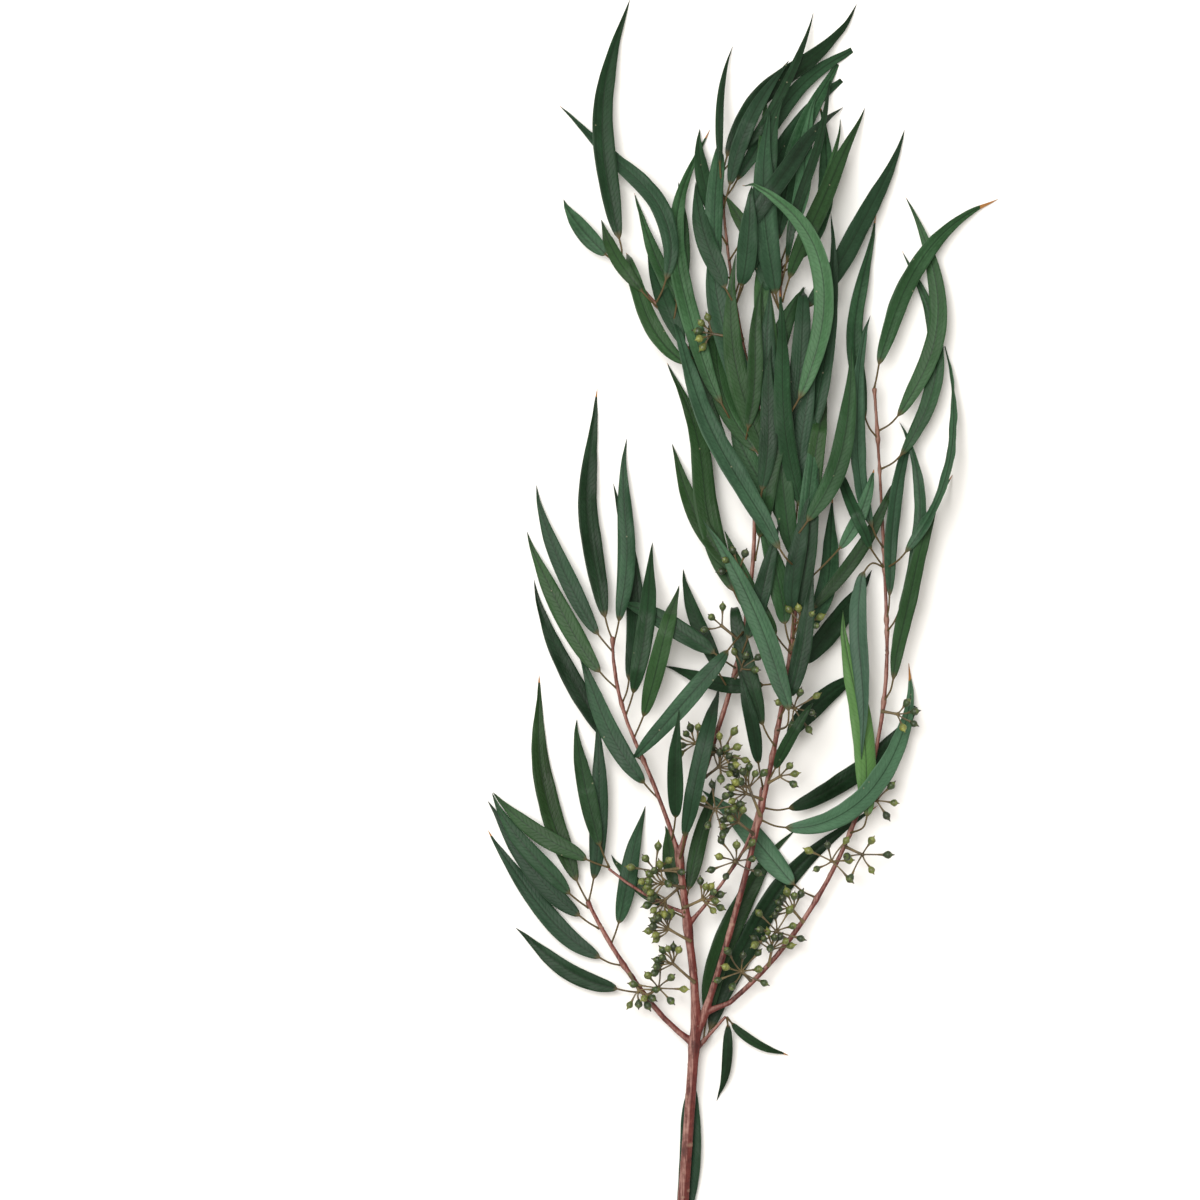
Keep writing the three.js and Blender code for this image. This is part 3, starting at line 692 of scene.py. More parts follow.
def layLeaf(piece, line, look, key):
    draw = random.Random(key)
    places = placesOf(piece)
    x, y, z = places.T
    stalkShare = leafForm["stalkRows"] / (leafForm["stalkRows"] + leafForm["bladeRows"])
    blade = np.clip((y - stalkShare) / (1 - stalkShare), 0, 1)
    onBlade = line["stalk"] + (line["along"][-1] - line["stalk"]) * blade
    place = np.where(y < stalkShare, line["stalk"] * y / stalkShare, onBlade)

    # Where each corner stands along the leaf, and which ways are forward, right and up there
    centre = smoothAt(line["along"], line["centres"], place)
    step = 0.6 * mm
    ahead = smoothAt(line["along"], line["centres"], place + step)
    behind = smoothAt(line["along"], line["centres"], place - step)
    forward = unit(ahead - behind)
    side = smoothAt(line["along"], line["sides"], place)
    side = unit(side - forward * (side * forward).sum(axis=1, keepdims=True))
    up = np.cross(side, forward)

    # A round stalk that goes over into a thin blade
    beat = place / leafForm["unevenLength"] + draw.uniform(0, 6)
    half = line["half"] * bladeSwell(blade * look.get("cut", 1))
    half *= 1 + leafForm["uneven"] * np.sin(beat) * np.sign(x)
    flare = 1 + leafForm["footFlare"] * np.maximum(0, 1 - place / leafForm["footLength"])
    stem = leafForm["stalk"] * np.sqrt(1 - blade) * flare
    half = np.hypot(half, stem)
    girth = np.sqrt(np.maximum(0.02, 1 - x**2)) * stem
    flat = np.clip(blade / 0.05, 0, 1)
    rise = z * (flat * leafForm["thick"] + (1 - flat) * girth)

    # Halves folded up from the midrib, edges rippled, and the whole blade slightly twisted
    full = np.minimum(1, blade * 7) * np.minimum(1, (1 - blade) * 9)
    fold = math.radians(draw.uniform(-0.4, 1.0) * leafForm["fold"]) * full
    twist = math.radians(draw.uniform(-1, 1) * leafForm["twist"])
    twist = twist * np.sin(place / leafForm["twistLength"] + draw.uniform(0, 6)) * full
    lift = np.abs(x) * half * np.sin(fold) + x * half * np.sin(twist)
    lift += leafRipple(x, place, draw) * x**2 * full
    lift -= leafForm["cup"] * half * (x**2 - 0.3) * full * draw.uniform(-1, 1)
    beat = place / draw.uniform(*leafForm["swayLength"]) + draw.uniform(0, 6)
    sway = leafForm["sway"] * np.sin(beat) * full
    made = centre + side * (x * half * np.cos(fold) + sway)[:, None] + up * (lift + rise)[:, None]
    made[:, 2] = np.maximum(made[:, 2], leafForm["clear"] * (z > 0) + leafForm["lowest"])
    setPlaces(piece, made)
    shift = key * leafForm["patternShift"]
    setValues(piece, "leafPlace", np.stack([x * half, place + shift, np.abs(x)], axis=1))
    setValues(piece, "leafLook", np.tile((look["tone"], look["warmth"], look["dry"]), (len(x), 1)))
    setValues(piece, "blade", blade)
    setValues(piece, "underside", (z < 0) * 1.0)


# Tone runs from dark to light, warmth from blue-grey to yellow-green, and dry is how far the tip has dried
leafLooks = {
    # Most low leaves, which lie under the wood, are given dark tones that paint the shade they lie in
    "low_leaf_01": {"tone": 0.30, "warmth": -0.35, "dry": 0.0},
    "low_leaf_02": {"tone": 0.16, "warmth": 0.0, "dry": 0.4},
    "low_leaf_04": {"tone": 0.90, "warmth": -0.4, "dry": 0.0},
    "low_leaf_05": {"tone": 0.14, "warmth": 0.0, "dry": 0.0, "cut": 0.9},
    "low_leaf_06": {"tone": 0.16, "warmth": 0.0, "dry": 0.0},
    "low_leaf_07": {"tone": 0.18, "warmth": 0.0, "dry": 0.0},
    "leaf_09": {"tone": 0.50, "warmth": 0.1, "dry": 1.0},
    "leaf_10": {"tone": 0.62, "warmth": -0.5, "dry": 0.0},
    "leaf_11": {"tone": 0.84, "warmth": 0.75, "dry": 0.0},
    "leaf_12": {"tone": 0.66, "warmth": -0.7, "dry": 0.0},
    "leaf_14": {"tone": 0.44, "warmth": -0.1, "dry": 0.0, "cut": 0.84},
    "leaf_15": {"tone": 0.36, "warmth": -0.1, "dry": 0.0, "cut": 0.88},
    "leaf_16": {"tone": 0.56, "warmth": 0.0, "dry": 0.0, "cut": 0.88},
    "leaf_17": {"tone": 0.14, "warmth": 0.0, "dry": 0.0},
    "leaf_25": {"tone": 0.74, "warmth": 0.1, "dry": 0.3},
    "leaf_29": {"tone": 0.26, "warmth": 0.0, "dry": 0.0},
    "leaf_36": {"tone": 0.62, "warmth": -0.2, "dry": 0.0},
    "leaf_37": {"tone": 0.86, "warmth": -0.4, "dry": 0.8},
}


usualLooks = {
    "underShadeTone": (0.10, 0.34),  # the leaves that lie under the wood are darker, with its shade painted into their tone
    "overTone": (0.28, 0.68),
    "warmth": (-0.35, 0.3),
    "dry": (0, 0, 0.25, 0.5),
    "extraTone": (0.22, 0.58),
    "extraWarmth": (-0.3, 0.3),
}


def lookOf(name, key):
    draw = random.Random(key * 7 + seeds["look"])
    tones = usualLooks["underShadeTone" if name.startswith("low") else "overTone"]
    usual = {
        "tone": draw.uniform(*tones),
        "warmth": draw.uniform(*usualLooks["warmth"]),
        "dry": draw.choice(usualLooks["dry"]),
    }
    return leafLooks.get(name, usual)


def extraLookOf(row, key):
    draw = random.Random(seeds["extraLook"] + key)
    usual = {
        "tone": draw.uniform(*usualLooks["extraTone"]),
        "warmth": draw.uniform(*usualLooks["extraWarmth"]),
        "dry": 0.0,
    }
    return {item: row.get(item, usual[item]) for item in usual}


def rootLine(line):  # starts the stalk just inside the wood
    first = Vector(line["centres"][0])
    bark = onWood(first)
    line["centres"][0] = bark + (bark - first).normalized() * leafForm["sunk"]
    return line


leafBlank = makeLeafBlank()
leafPieces = {}


def dressLeaf(name, line, look, key):
    piece = copyOf(leafBlank, name)
    layLeaf(piece, rootLine(line), look, key)
    piece.data.materials.append(leafGreen)
    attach(piece, "root")
    return piece


for key, name in enumerate(lowNames + highNames):
    title = name.replace("low_leaf_", "lowLeaf").replace("leaf_", "highLeaf")
    piece = dressLeaf(title, lines[name], lookOf(name, key), key)
    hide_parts(name)
    leafPieces[name] = piece
print("leaves laid:", len(leafPieces))


# Leaves between and over the others, each beside one that the frame has
extraForm = {
    "gap": 0.35 * mm,
    "stalk": 12,
    "stalkSteps": 2,
    "stalkWidth": 0.15,  # share of the width that has to clear what is under it
    "bladeWidth": 0.9,
    "spacing": 4,
    "lowestFoot": 1 * mm,
    "arch": 2.0,
    "topSteps": 45,
}


def leafRow(beside, slide, heading, length, width, turns, **more):
    row = {"beside": beside, "slide": slide, "heading": heading, "length": length, "width": width}
    return {**row, "turns": turns, **more}


# In mm and degrees: beside and slide say where on the wood a leaf grows, turns bend its stalk and the two
# halves of its blade, and over is the last leaf of the frame that it lies over
extraLeaves = [
    leafRow("leaf_33", 1, 50, 74, 7, (-8, -20, -12), stalk=30, tone=0.72, dry=0.7),
    leafRow("leaf_16", 1, 20, 88, 8, (-4, -10, 12), tone=0.72),
    leafRow("leaf_26", 6, -60, 64, 11, (22, 14, 10), over="leaf_20"),
    leafRow("leaf_21", 30, 20, 66, 10, (-6, 8, 10), over="leaf_20"),
    leafRow("leaf_25", 18, -25, 70, 10, (8, 14, 6), over="leaf_20"),
    leafRow("leaf_18", 7, -30, 60, 9, (10, 12, 8), over="leaf_17"),
    leafRow("leaf_16", 0, -60, 46, 7, (16, 10, 6), over="leaf_16"),
    leafRow("leaf_20", -8, 18, 45, 7, (-4, 6, 8), over="leaf_20"),
    leafRow("leaf_16", 2, -27, 90, 6, (12, 14, 10), dry=1.0),
    leafRow("leaf_14", 6, -6, 74, 4, (4, 8, 10), tone=0.24),
    leafRow("leaf_17", 4, 50, 96, 5, (-8, -14, -16), tone=0.22),
    leafRow("leaf_13", 2, 44, 84, 4.5, (-12, -14, -10), tone=0.55),
    leafRow("leaf_31", -3, -45, 70, 9, (12, 8, 4), over="leaf_27"),
    leafRow("low_leaf_07", 0, -110, 62, 8, (18, 14, 8), over="leaf_01"),
    leafRow("leaf_01", -27, 8, 68, 8, (4, 6, -8), over="low_leaf_12"),
    leafRow("leaf_01", -29, -68, 48, 6.5, (12, 10, 8), over="low_leaf_12"),
    leafRow("leaf_01", -25, -20, 42, 8, (4, 6, 4), tone=0.2, over="low_leaf_12"),
    leafRow("low_leaf_03", 20, 172, 44, 5.2, (2, 10, 26), toward=46, stalk=4, tone=0.16, over="low_leaf_03"),
    leafRow("low_leaf_03", 20, 142, 38, 4.6, (-4, -16, -22), toward=46, stalk=4, tone=0.18, dry=1.0,
            over="low_leaf_03"),
    leafRow("leaf_30", 11, 55, 90, 7, (-12, -10, -8), tone=0.2, over="leaf_01"),
    leafRow("leaf_12", 0, -44, 66, 6, (12, 14, 8), over="leaf_09"),
    leafRow("leaf_29", -3, -60, 48, 9, (14, 10, 8), over="leaf_28"),
    leafRow("leaf_28", -3, -50, 55, 7, (10, 12, 10), over="leaf_24"),
    # Leaves of the lower layers, between the long ones, most with darker tones that paint the shade under the
    # leaves over them
    leafRow("leaf_21", 13, -32, 122, 12.5, (4, 18, 18), tone=0.46, over="leaf_12"),
    leafRow("leaf_20", -12, 24, 106, 12, (-8, -10, 14), tone=0.4, over="leaf_12"),
    leafRow("leaf_18", 6, -22, 104, 12, (10, 10, 10), tone=0.5, over="leaf_12"),
    leafRow("leaf_21", -8, -36, 118, 11, (8, 20, 16), tone=0.34, over="leaf_12"),
    leafRow("leaf_20", 10, 34, 98, 9, (-6, 8, 12), tone=0.2, over="leaf_13"),
    leafRow("leaf_20", 18, -34, 62, 8, (14, 12, 8), over="leaf_12"),
    leafRow("leaf_14", -4, 18, 82, 8, (-4, 10, 16), tone=0.3, over="leaf_13"),
    leafRow("leaf_18", 14, 14, 108, 9, (4, 10, -6), tone=0.24, over="leaf_13"),
    leafRow("leaf_13", -6, 14, 112, 5, (-4, 8, -8), tone=0.2, over="leaf_13"),
    leafRow("leaf_19", 10, -24, 84, 10, (10, 12, 8), over="leaf_12"),
    leafRow("leaf_19", 4, 14, 92, 10, (-4, -8, 6), tone=0.34, over="leaf_12"),
    leafRow("leaf_26", 2, 12, 90, 9, (-10, 4, 8), over="leaf_12"),
    leafRow("leaf_26", -10, -28, 88, 10, (14, 10, 8), tone=0.3, over="leaf_12"),
    leafRow("leaf_34", 4, 34, 88, 9, (-24, -4, 6), tone=0.28, over="leaf_12"),
    leafRow("leaf_33", 6, -12, 84, 10, (6, -4, 10), over="leaf_12"),
    leafRow("leaf_30", 4, 26, 86, 9, (-18, -4, 8), tone=0.22, over="leaf_12"),
    leafRow("leaf_31", 6, -4, 74, 9, (4, 8, 4), tone=0.26, over="leaf_12"),
    leafRow("leaf_36", 6, 30, 76, 9, (-14, -8, 4), tone=0.2, over="leaf_01"),
    leafRow("leaf_36", -8, -34, 72, 9, (12, 10, 6), tone=0.24, over="leaf_01"),
    leafRow("leaf_32", 4, 26, 72, 9, (-8, -6, 8), tone=0.3, over="leaf_01"),
    leafRow("leaf_32", -12, -36, 66, 8, (10, 8, 6), tone=0.24, over="leaf_01"),
    leafRow("leaf_27", 12, -54, 84, 9, (16, 14, 10), over="leaf_01"),
    leafRow("leaf_27", 26, 14, 80, 9, (-6, 6, 8), tone=0.3, over="leaf_01"),
    leafRow("leaf_24", -34, -44, 92, 9, (12, 16, 12), over="leaf_12"),
    leafRow("leaf_24", -46, 12, 84, 9, (-4, -8, 8), tone=0.26, over="leaf_12"),
    leafRow("leaf_24", -14, 16, 86, 8, (-8, -6, 10), tone=0.3, over="leaf_12"),
    leafRow("leaf_23", 10, -42, 70, 9, (14, 12, 8), over="leaf_22"),
    leafRow("leaf_28", -14, 14, 74, 8, (-6, -8, -4), over="leaf_23"),
    # The shaded side of the branch, on the left
    leafRow("low_leaf_08", 12, 24, 72, 9, (-8, -6, 6), over="low_leaf_10"),
    leafRow("low_leaf_08", 22, -64, 86, 10, (14, 12, 8), over="low_leaf_10"),
    leafRow("low_leaf_08", -16, -88, 72, 9, (12, 18, 12), over="low_leaf_10"),
    leafRow("low_leaf_09", 0, 14, 96, 9, (-4, -10, -6)),
    leafRow("low_leaf_09", -4, -58, 76, 9, (10, 10, 10)),
    leafRow("low_leaf_10", -22, -48, 84, 10, (10, 12, 8)),
    leafRow("low_leaf_10", 12, 28, 80, 9, (-8, -8, 6)),
    leafRow("low_leaf_11", 8, -52, 92, 10, (12, 14, 8), tone=0.4),
    leafRow("low_leaf_12", -2, 16, 104, 9, (-6, -12, 6), tone=0.5),
    leafRow("low_leaf_12", -6, -46, 94, 9, (10, 14, 12), tone=0.36),
    leafRow("low_leaf_11", -6, 22, 88, 9, (-8, -10, 4), tone=0.3),
    leafRow("bud_cluster_07", 28, -26, 76, 9, (6, 10, 8), toward=-62, tone=0.3),
    leafRow("bud_cluster_07", 30, -76, 70, 9, (10, 12, 8), toward=-62, tone=0.36),
    leafRow("bud_cluster_07", 20, 12, 66, 8, (-8, -6, 8), toward=-62, tone=0.26),
    leafRow("low_leaf_05", 11, -14, 62, 7, (6, -8, 6), rise=-7, tone=0.2, over="leaf_01"),
    leafRow("low_leaf_05", 9, 34, 50, 6, (-10, 6, 6), rise=-7, tone=0.26, over="leaf_01"),
    # Broad leaves beside the upper twig and right of the leader
    leafRow("leaf_20", -12, 16, 58, 10, (-4, -6, -6), stalk=9, tone=0.4, over="leaf_17"),
    leafRow("leaf_20", -15, -36, 68, 10, (10, 12, 8), tone=0.34, over="leaf_17"),
    leafRow("leaf_26", -6, 40, 104, 10.5, (-6, -20, -18), tone=0.46, over="leaf_12"),
]


def footBeside(row):  # along the wood from where a leaf or a cluster of the frame leaves it
    name = row["beside"]
    beside = onWood(sprays[name][0] if name in sprays else lines[name]["centres"][0])
    run = inPlan(row["toward"], 1) if "toward" in row else woodHeading(beside)
    return onWood(beside + run * row["slide"] * mm + Vector((0, 0, row.get("rise", 0) * mm)))


def lastUnder(name):  # every frame node that a leaf laid after this one lies over
    order = lowNames + ["stem_and_shoots"] + clusterNames + highNames
    return order[:order.index(name) + 1] if name else order


def topsOf(names, laid):  # one tree of the faces that a new leaf must clear
    corners = []
    faces = []
    for obj in [nodes[name] for name in names] + laid:
        shift = len(corners)
        corners.extend(obj.data.vertices[k].co.copy() for k in range(len(obj.data.vertices)))
        faces.extend([k + shift for k in face.vertices] for face in obj.data.polygons)
    return BVHTree.FromPolygons(corners, faces)


def topAt(tree, place):
    hit = tree.ray_cast(Vector((place.x, place.y, 0.2)), down)[0]
    return hit.z if hit else 0.0


def bridge(along, needs):  # the straightest stiff line over a row of needed heights
    hull = []
    for k in range(len(along)):
        while len(hull) > 1:
            a, b = hull[-2:]
            straight = (needs[b] - needs[a]) * (along[k] - along[a])
            if (along[b] - along[a]) * (needs[k] - needs[a]) < straight:
                break
            hull.pop()
        hull.append(k)
    return np.interp(along, [along[k] for k in hull], [needs[k] for k in hull])


def settle(middles, sides, widths, footHeight, tree):  # heights of a stiff line that clears what is under it
    along = [0.0]
    for before, after in zip(middles, middles[1:]):
        along.append(along[-1] + (after - before).length)
    needs = []
    for middle, side, width in zip(middles, sides, widths):
        tops = [topAt(tree, middle + side * across * width) for across in (-1, -0.5, 0, 0.5, 1)]
        needs.append(max(tops) + extraForm["gap"])
    needs[0] = footHeight
    return bridge(along, needs)


def growLine(row, tree):
    foot = footBeside(row)
    stalk = row.get("stalk", extraForm["stalk"])
    heading = row["heading"]
    place = foot.copy()
    middles = [place.copy()]
    sides = [inPlan(heading + 90, row["width"] * mm / 2)]
    half = (row["length"] - stalk) / 2
    stalkSteps = extraForm["stalkSteps"]
    for part, turn in zip((stalk, half, half), row["turns"]):
        steps = stalkSteps if part is stalk else max(3, round(part / extraForm["spacing"]))
        for k in range(steps):
            place = place + inPlan(heading + turn * (k + 0.5) / steps, part * mm / steps)
            middles.append(place.copy())
            sides.append(inPlan(heading + turn * (k + 1) / steps + 90, row["width"] * mm / 2))
        heading += turn
    widths = [extraForm["stalkWidth" if k <= stalkSteps else "bladeWidth"] for k in range(len(middles))]
    heights = settle(middles, sides, widths, max(foot.z, extraForm["lowestFoot"]), tree)
    for k, middle in enumerate(middles):
        blade = max(0, k - stalkSteps) / (len(middles) - 1 - stalkSteps)
        middle.z = heights[k] + extraForm["arch"] * mm * math.sin(math.pi * blade)
    return leafLine(middles, sides, stalkSteps)


laidExtras = []
for key, row in enumerate(extraLeaves):
    tree = topsOf(lastUnder(row.get("over")), laidExtras)
    title = f"extraLeaf{key + 1:02d}"
    laidExtras.append(dressLeaf(title, growLine(row, tree), extraLookOf(row, key), seeds["extraLeaf"] + key))
print("extra leaves laid:", len(laidExtras))


def raiseTopLeaf(name):  # the pale leaf over all the others keeps its place in plan and clears the extra ones
    tree = topsOf([], laidExtras)
    line = lines[name]
    along = np.linspace(0, line["along"][-1], extraForm["topSteps"])
    centres = smoothAt(line["along"], line["centres"], along)
    sides = unit(smoothAt(line["along"], line["sides"], along)) * line["half"]
    middles = [Vector(place) for place in centres]
    widths = [extraForm["bladeWidth"]] * len(along)
    heights = settle(middles, [Vector(side) for side in sides], widths, centres[0][2], tree)
    raised = heights + extraForm["gap"] * np.minimum(1, along / line["stalk"])
    centres[:, 2] = np.maximum(centres[:, 2], raised)
    key = (lowNames + highNames).index(name)
    setPlaces(leafPieces[name], placesOf(leafBlank))
    raisedLine = {**line, "centres": centres, "sides": sides, "along": along}
    layLeaf(leafPieces[name], raisedLine, lookOf(name, key), key)


raiseTopLeaf("leaf_25")


woodForm = {
    "voxel": 0.46 * mm,
    "rough": 0.20 * mm,
    "knot": 0.7 * mm,
    "knotReach": 2.0 * mm,
    "knotScar": 1.5 * mm,
    "litSide": (-0.62, 0.12, 0.77),  # the side that faces the lamp, painted paler as a highlight
    # height above the cut end, heading of the leader there, and how far along it the fork is
    "forks": ((118, 4, 0), (118, 19, 17), (118, -2, 60), (118, -2, 95)),
    "stemHeading": 4,
    "forkSwell": 0.85 * mm,
    "forkReach": 6 * mm,
    "scars": 34,
    "scarred": 330 * mm,  # old scars are on this length of the stem, from its cut end
    "scarSize": (0.7, 1.4),
    "scarRim": 0.22 * mm,
    "scarPit": 0.12 * mm,
    "lowest": 0.1 * mm,
    "flatEnd": 0.5 * mm,  # length at the cut that stays as cut
    "twigsFrom": 0.30,  # share of the branch's length where the bark starts to turn to that of the twigs
    "twigsOver": 0.45,
}


def awayFrom(places, middle, stretch=(1, 1, 1)):
    return np.linalg.norm((places - np.array(middle)) * stretch, axis=1)


def unevenness(place):
    return noise.noise(place * 95) + 0.5 * noise.noise(place * 260)


def growKnots(places, feet):  # knots where a leaf or a stalk leaves, and swollen forks
    swell = np.zeros(len(places))
    scar = np.zeros(len(places))
    for foot in feet:
        away = awayFrom(places, foot, (1, 0.8, 1))
        swell = np.maximum(swell, woodForm["knot"] * np.exp(-(away / woodForm["knotReach"]) ** 2))
        scar = np.maximum(scar, 0.55 * np.exp(-(away / woodForm["knotScar"]) ** 2))
    swell += np.array([unevenness(Vector(place)) for place in places]) * woodForm["rough"]
    for height, heading, further in woodForm["forks"]:
        up = inPlan(woodForm["stemHeading"], height * mm)
        fork = onWood(Vector(cutEnd) + up + inPlan(heading, further * mm))
        away = awayFrom(places, fork)
        swell = np.maximum(swell, woodForm["forkSwell"] * np.exp(-(away / woodForm["forkReach"]) ** 2))
    return swell, scar


def addScars(places, swell, scar):  # old leaf scars, each a low rim round a pit
    draw = random.Random(seeds["scars"])
    low = np.flatnonzero(places[:, 1] < cutEnd[1] + woodForm["scarred"])
    for _ in range(woodForm["scars"]):
        middle = places[low[draw.randrange(len(low))]]
        away = awayFrom(places, middle, (0.8, 1.25, 0.8))
        size = draw.uniform(*woodForm["scarSize"]) * mm
        ring = np.exp(-(((away - size) / (0.35 * size)) ** 2))
        swell += woodForm["scarRim"] * ring - woodForm["scarPit"] * np.exp(-(away / size) ** 2)
        scar[:] = np.maximum(scar, np.exp(-(away / size) ** 4))


def makeWood(feet):
    wood = copyOf(woodSource, "stemAndShoots")
    pick(wood)
    bpy.ops.object.mode_set(mode="EDIT")
    bpy.ops.mesh.select_all(action="SELECT")
    bpy.ops.mesh.remove_doubles(threshold=0.002 * mm)
    bpy.ops.object.mode_set(mode="OBJECT")
    applyModifier(wood, "REMESH", mode="VOXEL", voxel_size=woodForm["voxel"])
    applyModifier(wood, "SMOOTH", factor=0.5, iterations=4)
    places = placesOf(wood)
    normals = np.zeros(len(places) * 3)
    wood.data.vertices.foreach_get("normal", normals)
    normals = normals.reshape(-1, 3)
    swell, scar = growKnots(places, feet)
    addScars(places, swell, scar)
    swell[places[:, 1] < cutEnd[1] + woodForm["flatEnd"]] = 0
    places += normals * swell[:, None]
    places[:, 2] = np.maximum(places[:, 2], woodForm["lowest"])
    setPlaces(wood, places)

    # How far towards the twigs, how scarred, and whether it is the cut
    height = (places[:, 1] - cutEnd[1]) / (cadBox[1].y - cadBox[0].y)
    thin = np.clip((height - woodForm["twigsFrom"]) / woodForm["twigsOver"], 0, 1)
    cut = np.clip((cutEnd[1] + 0.9 * mm - places[:, 1]) / (0.5 * mm), 0, 1)
    setValues(wood, "woodLook", np.stack([thin, scar, cut], axis=1))
    # how far each place faces the lamp, which sets the painted highlight and painted shade of the bark
    setValues(wood, "woodFacingLamp", normals @ np.array(woodForm["litSide"]))
    pick(wood)
    bpy.ops.object.shade_smooth()
    wood.data.materials.clear()
    wood.data.materials.append(barkRed)
    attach(wood, "root")
    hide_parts("stem_and_shoots")
    return wood


feet = [onWood(line["centres"][0]) for line in lines.values()]
wood = makeWood(feet)
print("wood made:", len(wood.data.polygons), "faces")


budForm = {
    "sides": 9,
    # radius and height of each ring, from the foot to the beak
    "rings": ((0.48, -2.6), (0.95, -2.0), (1.6, -1.1), (2.0, -0.1), (2.05, 0.55), (1.7, 0.85), (1.82, 1.05),
              (1.2, 1.65), (0.5, 2.35), (0.12, 3.5)),
    "foot": 2.3 * mm,  # from the middle of a bud down to the end of its ray
    "ray": 0.42 * mm,
    "rayTaper": (1.2, 0.95, 0.9, 1.0, 1.6),
    "stalk": 0.75 * mm,
    "stalkTaper": (1.5, 1.05, 0.95, 0.9, 0.95, 1.1),
    "sunk": 0.5 * mm,  # how far the stalk starts inside the wood
    "arch": 0.12,
    "bow": 0.5 * mm,
    "sizes": (0.86, 1.04),
    "hub": 1.15 * mm,
    "lowest": 0.05 * mm,
}


def makeBudBlank():
    rings = budForm["rings"]
    bpy.ops.mesh.primitive_circle_add(vertices=budForm["sides"], radius=rings[0][0] * mm, fill_type="NGON")
    blank = bpy.context.active_object
    blank.name = "budBlank"
    bpy.ops.object.mode_set(mode="EDIT")
    bpy.ops.mesh.select_all(action="SELECT")
    bpy.ops.transform.translate(value=(0, 0, rings[0][1] * mm))
    bpy.ops.mesh.flip_normals()
    for (before, low), (after, high) in zip(rings, rings[1:]):
        rise = (high - low) * mm
        bpy.ops.mesh.extrude_region_move(TRANSFORM_OT_translate={"value": (0, 0, rise)})
        share = after / before
        bpy.ops.transform.resize(value=(share, share, 1), center_override=(0, 0, high * mm))
    bpy.ops.mesh.select_all(action="SELECT")
    bpy.ops.mesh.normals_make_consistent(inside=False)
    bpy.ops.object.mode_set(mode="OBJECT")
    bpy.ops.object.shade_smooth()
    places = placesOf(blank)
    low, high = places[:, 2].min(), places[:, 2].max()
    setValues(blank, "budRise", (places[:, 2] - low) / (high - low))
    blank.data.materials.append(budGreen)
    return blank


def makeHubBlank():
    bpy.ops.mesh.primitive_uv_sphere_add(segments=8, ring_count=5, radius=budForm["hub"], location=(0, 0, 0))
    blank = bpy.context.active_object
    blank.name = "hubBlank"
    bpy.ops.object.mode_set(mode="EDIT")
    pickVerts(lambda place: place.z < -0.3 * mm)  # drawn down into the stalk
    bpy.ops.transform.resize(value=(0.7, 0.7, 1), center_override=(0, 0, 0))
    bpy.ops.object.mode_set(mode="OBJECT")
    bpy.ops.object.shade_smooth()
    setValues(blank, "budRise", np.zeros(len(blank.data.vertices)))
    blank.data.materials.append(budStalk)
    return blank


def placeCopy(source, name, place, axis, size=1.0, spin=0.0):
    piece = copyOf(source, name)
    turn = axis.to_track_quat("Z", "Y").to_matrix() @ Matrix.Rotation(spin, 3, "Z")
    setPlaces(piece, placesOf(piece) @ (np.array(turn).T * size) + np.array(place))
    return piece


def makeRods(name, rods):  # tapered round rods, each given as points with a radius
    curve = bpy.data.curves.new(name, "CURVE")
    curve.dimensions = "3D"
    curve.bevel_depth = 1.0
    curve.bevel_resolution = 1
    curve.use_fill_caps = True
    for points in rods:
        spline = curve.splines.new("POLY")
        spline.points.add(len(points) - 1)
        for point, (place, radius) in zip(spline.points, points):
            point.co = (*place, 1)
            point.radius = radius
    rod = bpy.data.objects.new(name, curve)
    bpy.context.scene.collection.objects.link(rod)
    pick(rod)
    bpy.ops.object.convert(target="MESH")
    rod = bpy.context.active_object
    bpy.ops.object.shade_smooth()
    setValues(rod, "budRise", np.zeros(len(rod.data.vertices)))
    rod.data.materials.append(budStalk)
    return rod


def bentLine(start, end, bow, radii):  # a rod that bows to one side between its ends
    points = []
    for k, radius in enumerate(radii):
        share = k / (len(radii) - 1)
        points.append((start.lerp(end, share) + bow * math.sin(math.pi * share), radius))
    return points


def makeSpray(name, foot, hub, buds, key):
    draw = random.Random(key)
    inward = (foot - hub).normalized() * budForm["sunk"]
    rise = Vector((0, 0, (hub - foot).length * budForm["arch"]))
    radii = [budForm["stalk"] * share for share in budForm["stalkTaper"]]
    rods = [bentLine(foot + inward, hub, rise, radii)]
    parts = [placeCopy(hubBlank, name + "Hub", hub, (hub - foot).normalized())]
    radii = [budForm["ray"] * share for share in budForm["rayTaper"]]
    for middle, axis in buds:
        size = draw.uniform(*budForm["sizes"])
        bow = Vector((draw.uniform(-1, 1), draw.uniform(-1, 1), draw.uniform(-0.2, 1))) * budForm["bow"]
        rods.append(bentLine(hub, middle - axis * budForm["foot"] * size, bow, radii))
        parts.append(placeCopy(budBlank, name + "Bud", middle, axis, size, draw.uniform(0, 6.28)))
        # the random draw that paints gold highlight or shade on this bud
        setValues(parts[-1], "budDraw", np.full(len(parts[-1].data.vertices), draw.random()))
    parts.insert(0, makeRods(name, rods))
    pick(*parts)
    bpy.ops.object.join()
    spray = bpy.context.active_object
    places = placesOf(spray)
    places[:, 2] = np.maximum(places[:, 2], budForm["lowest"])
    setPlaces(spray, places)
    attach(spray, "root")
    return spray


budBlank = makeBudBlank()
hubBlank = makeHubBlank()
for key, name in enumerate(clusterNames):
    hub, buds = sprays[name]
    spray = makeSpray(name.replace("bud_cluster_", "budSpray"), onWood(hub), hub, buds, key)
    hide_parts(name)

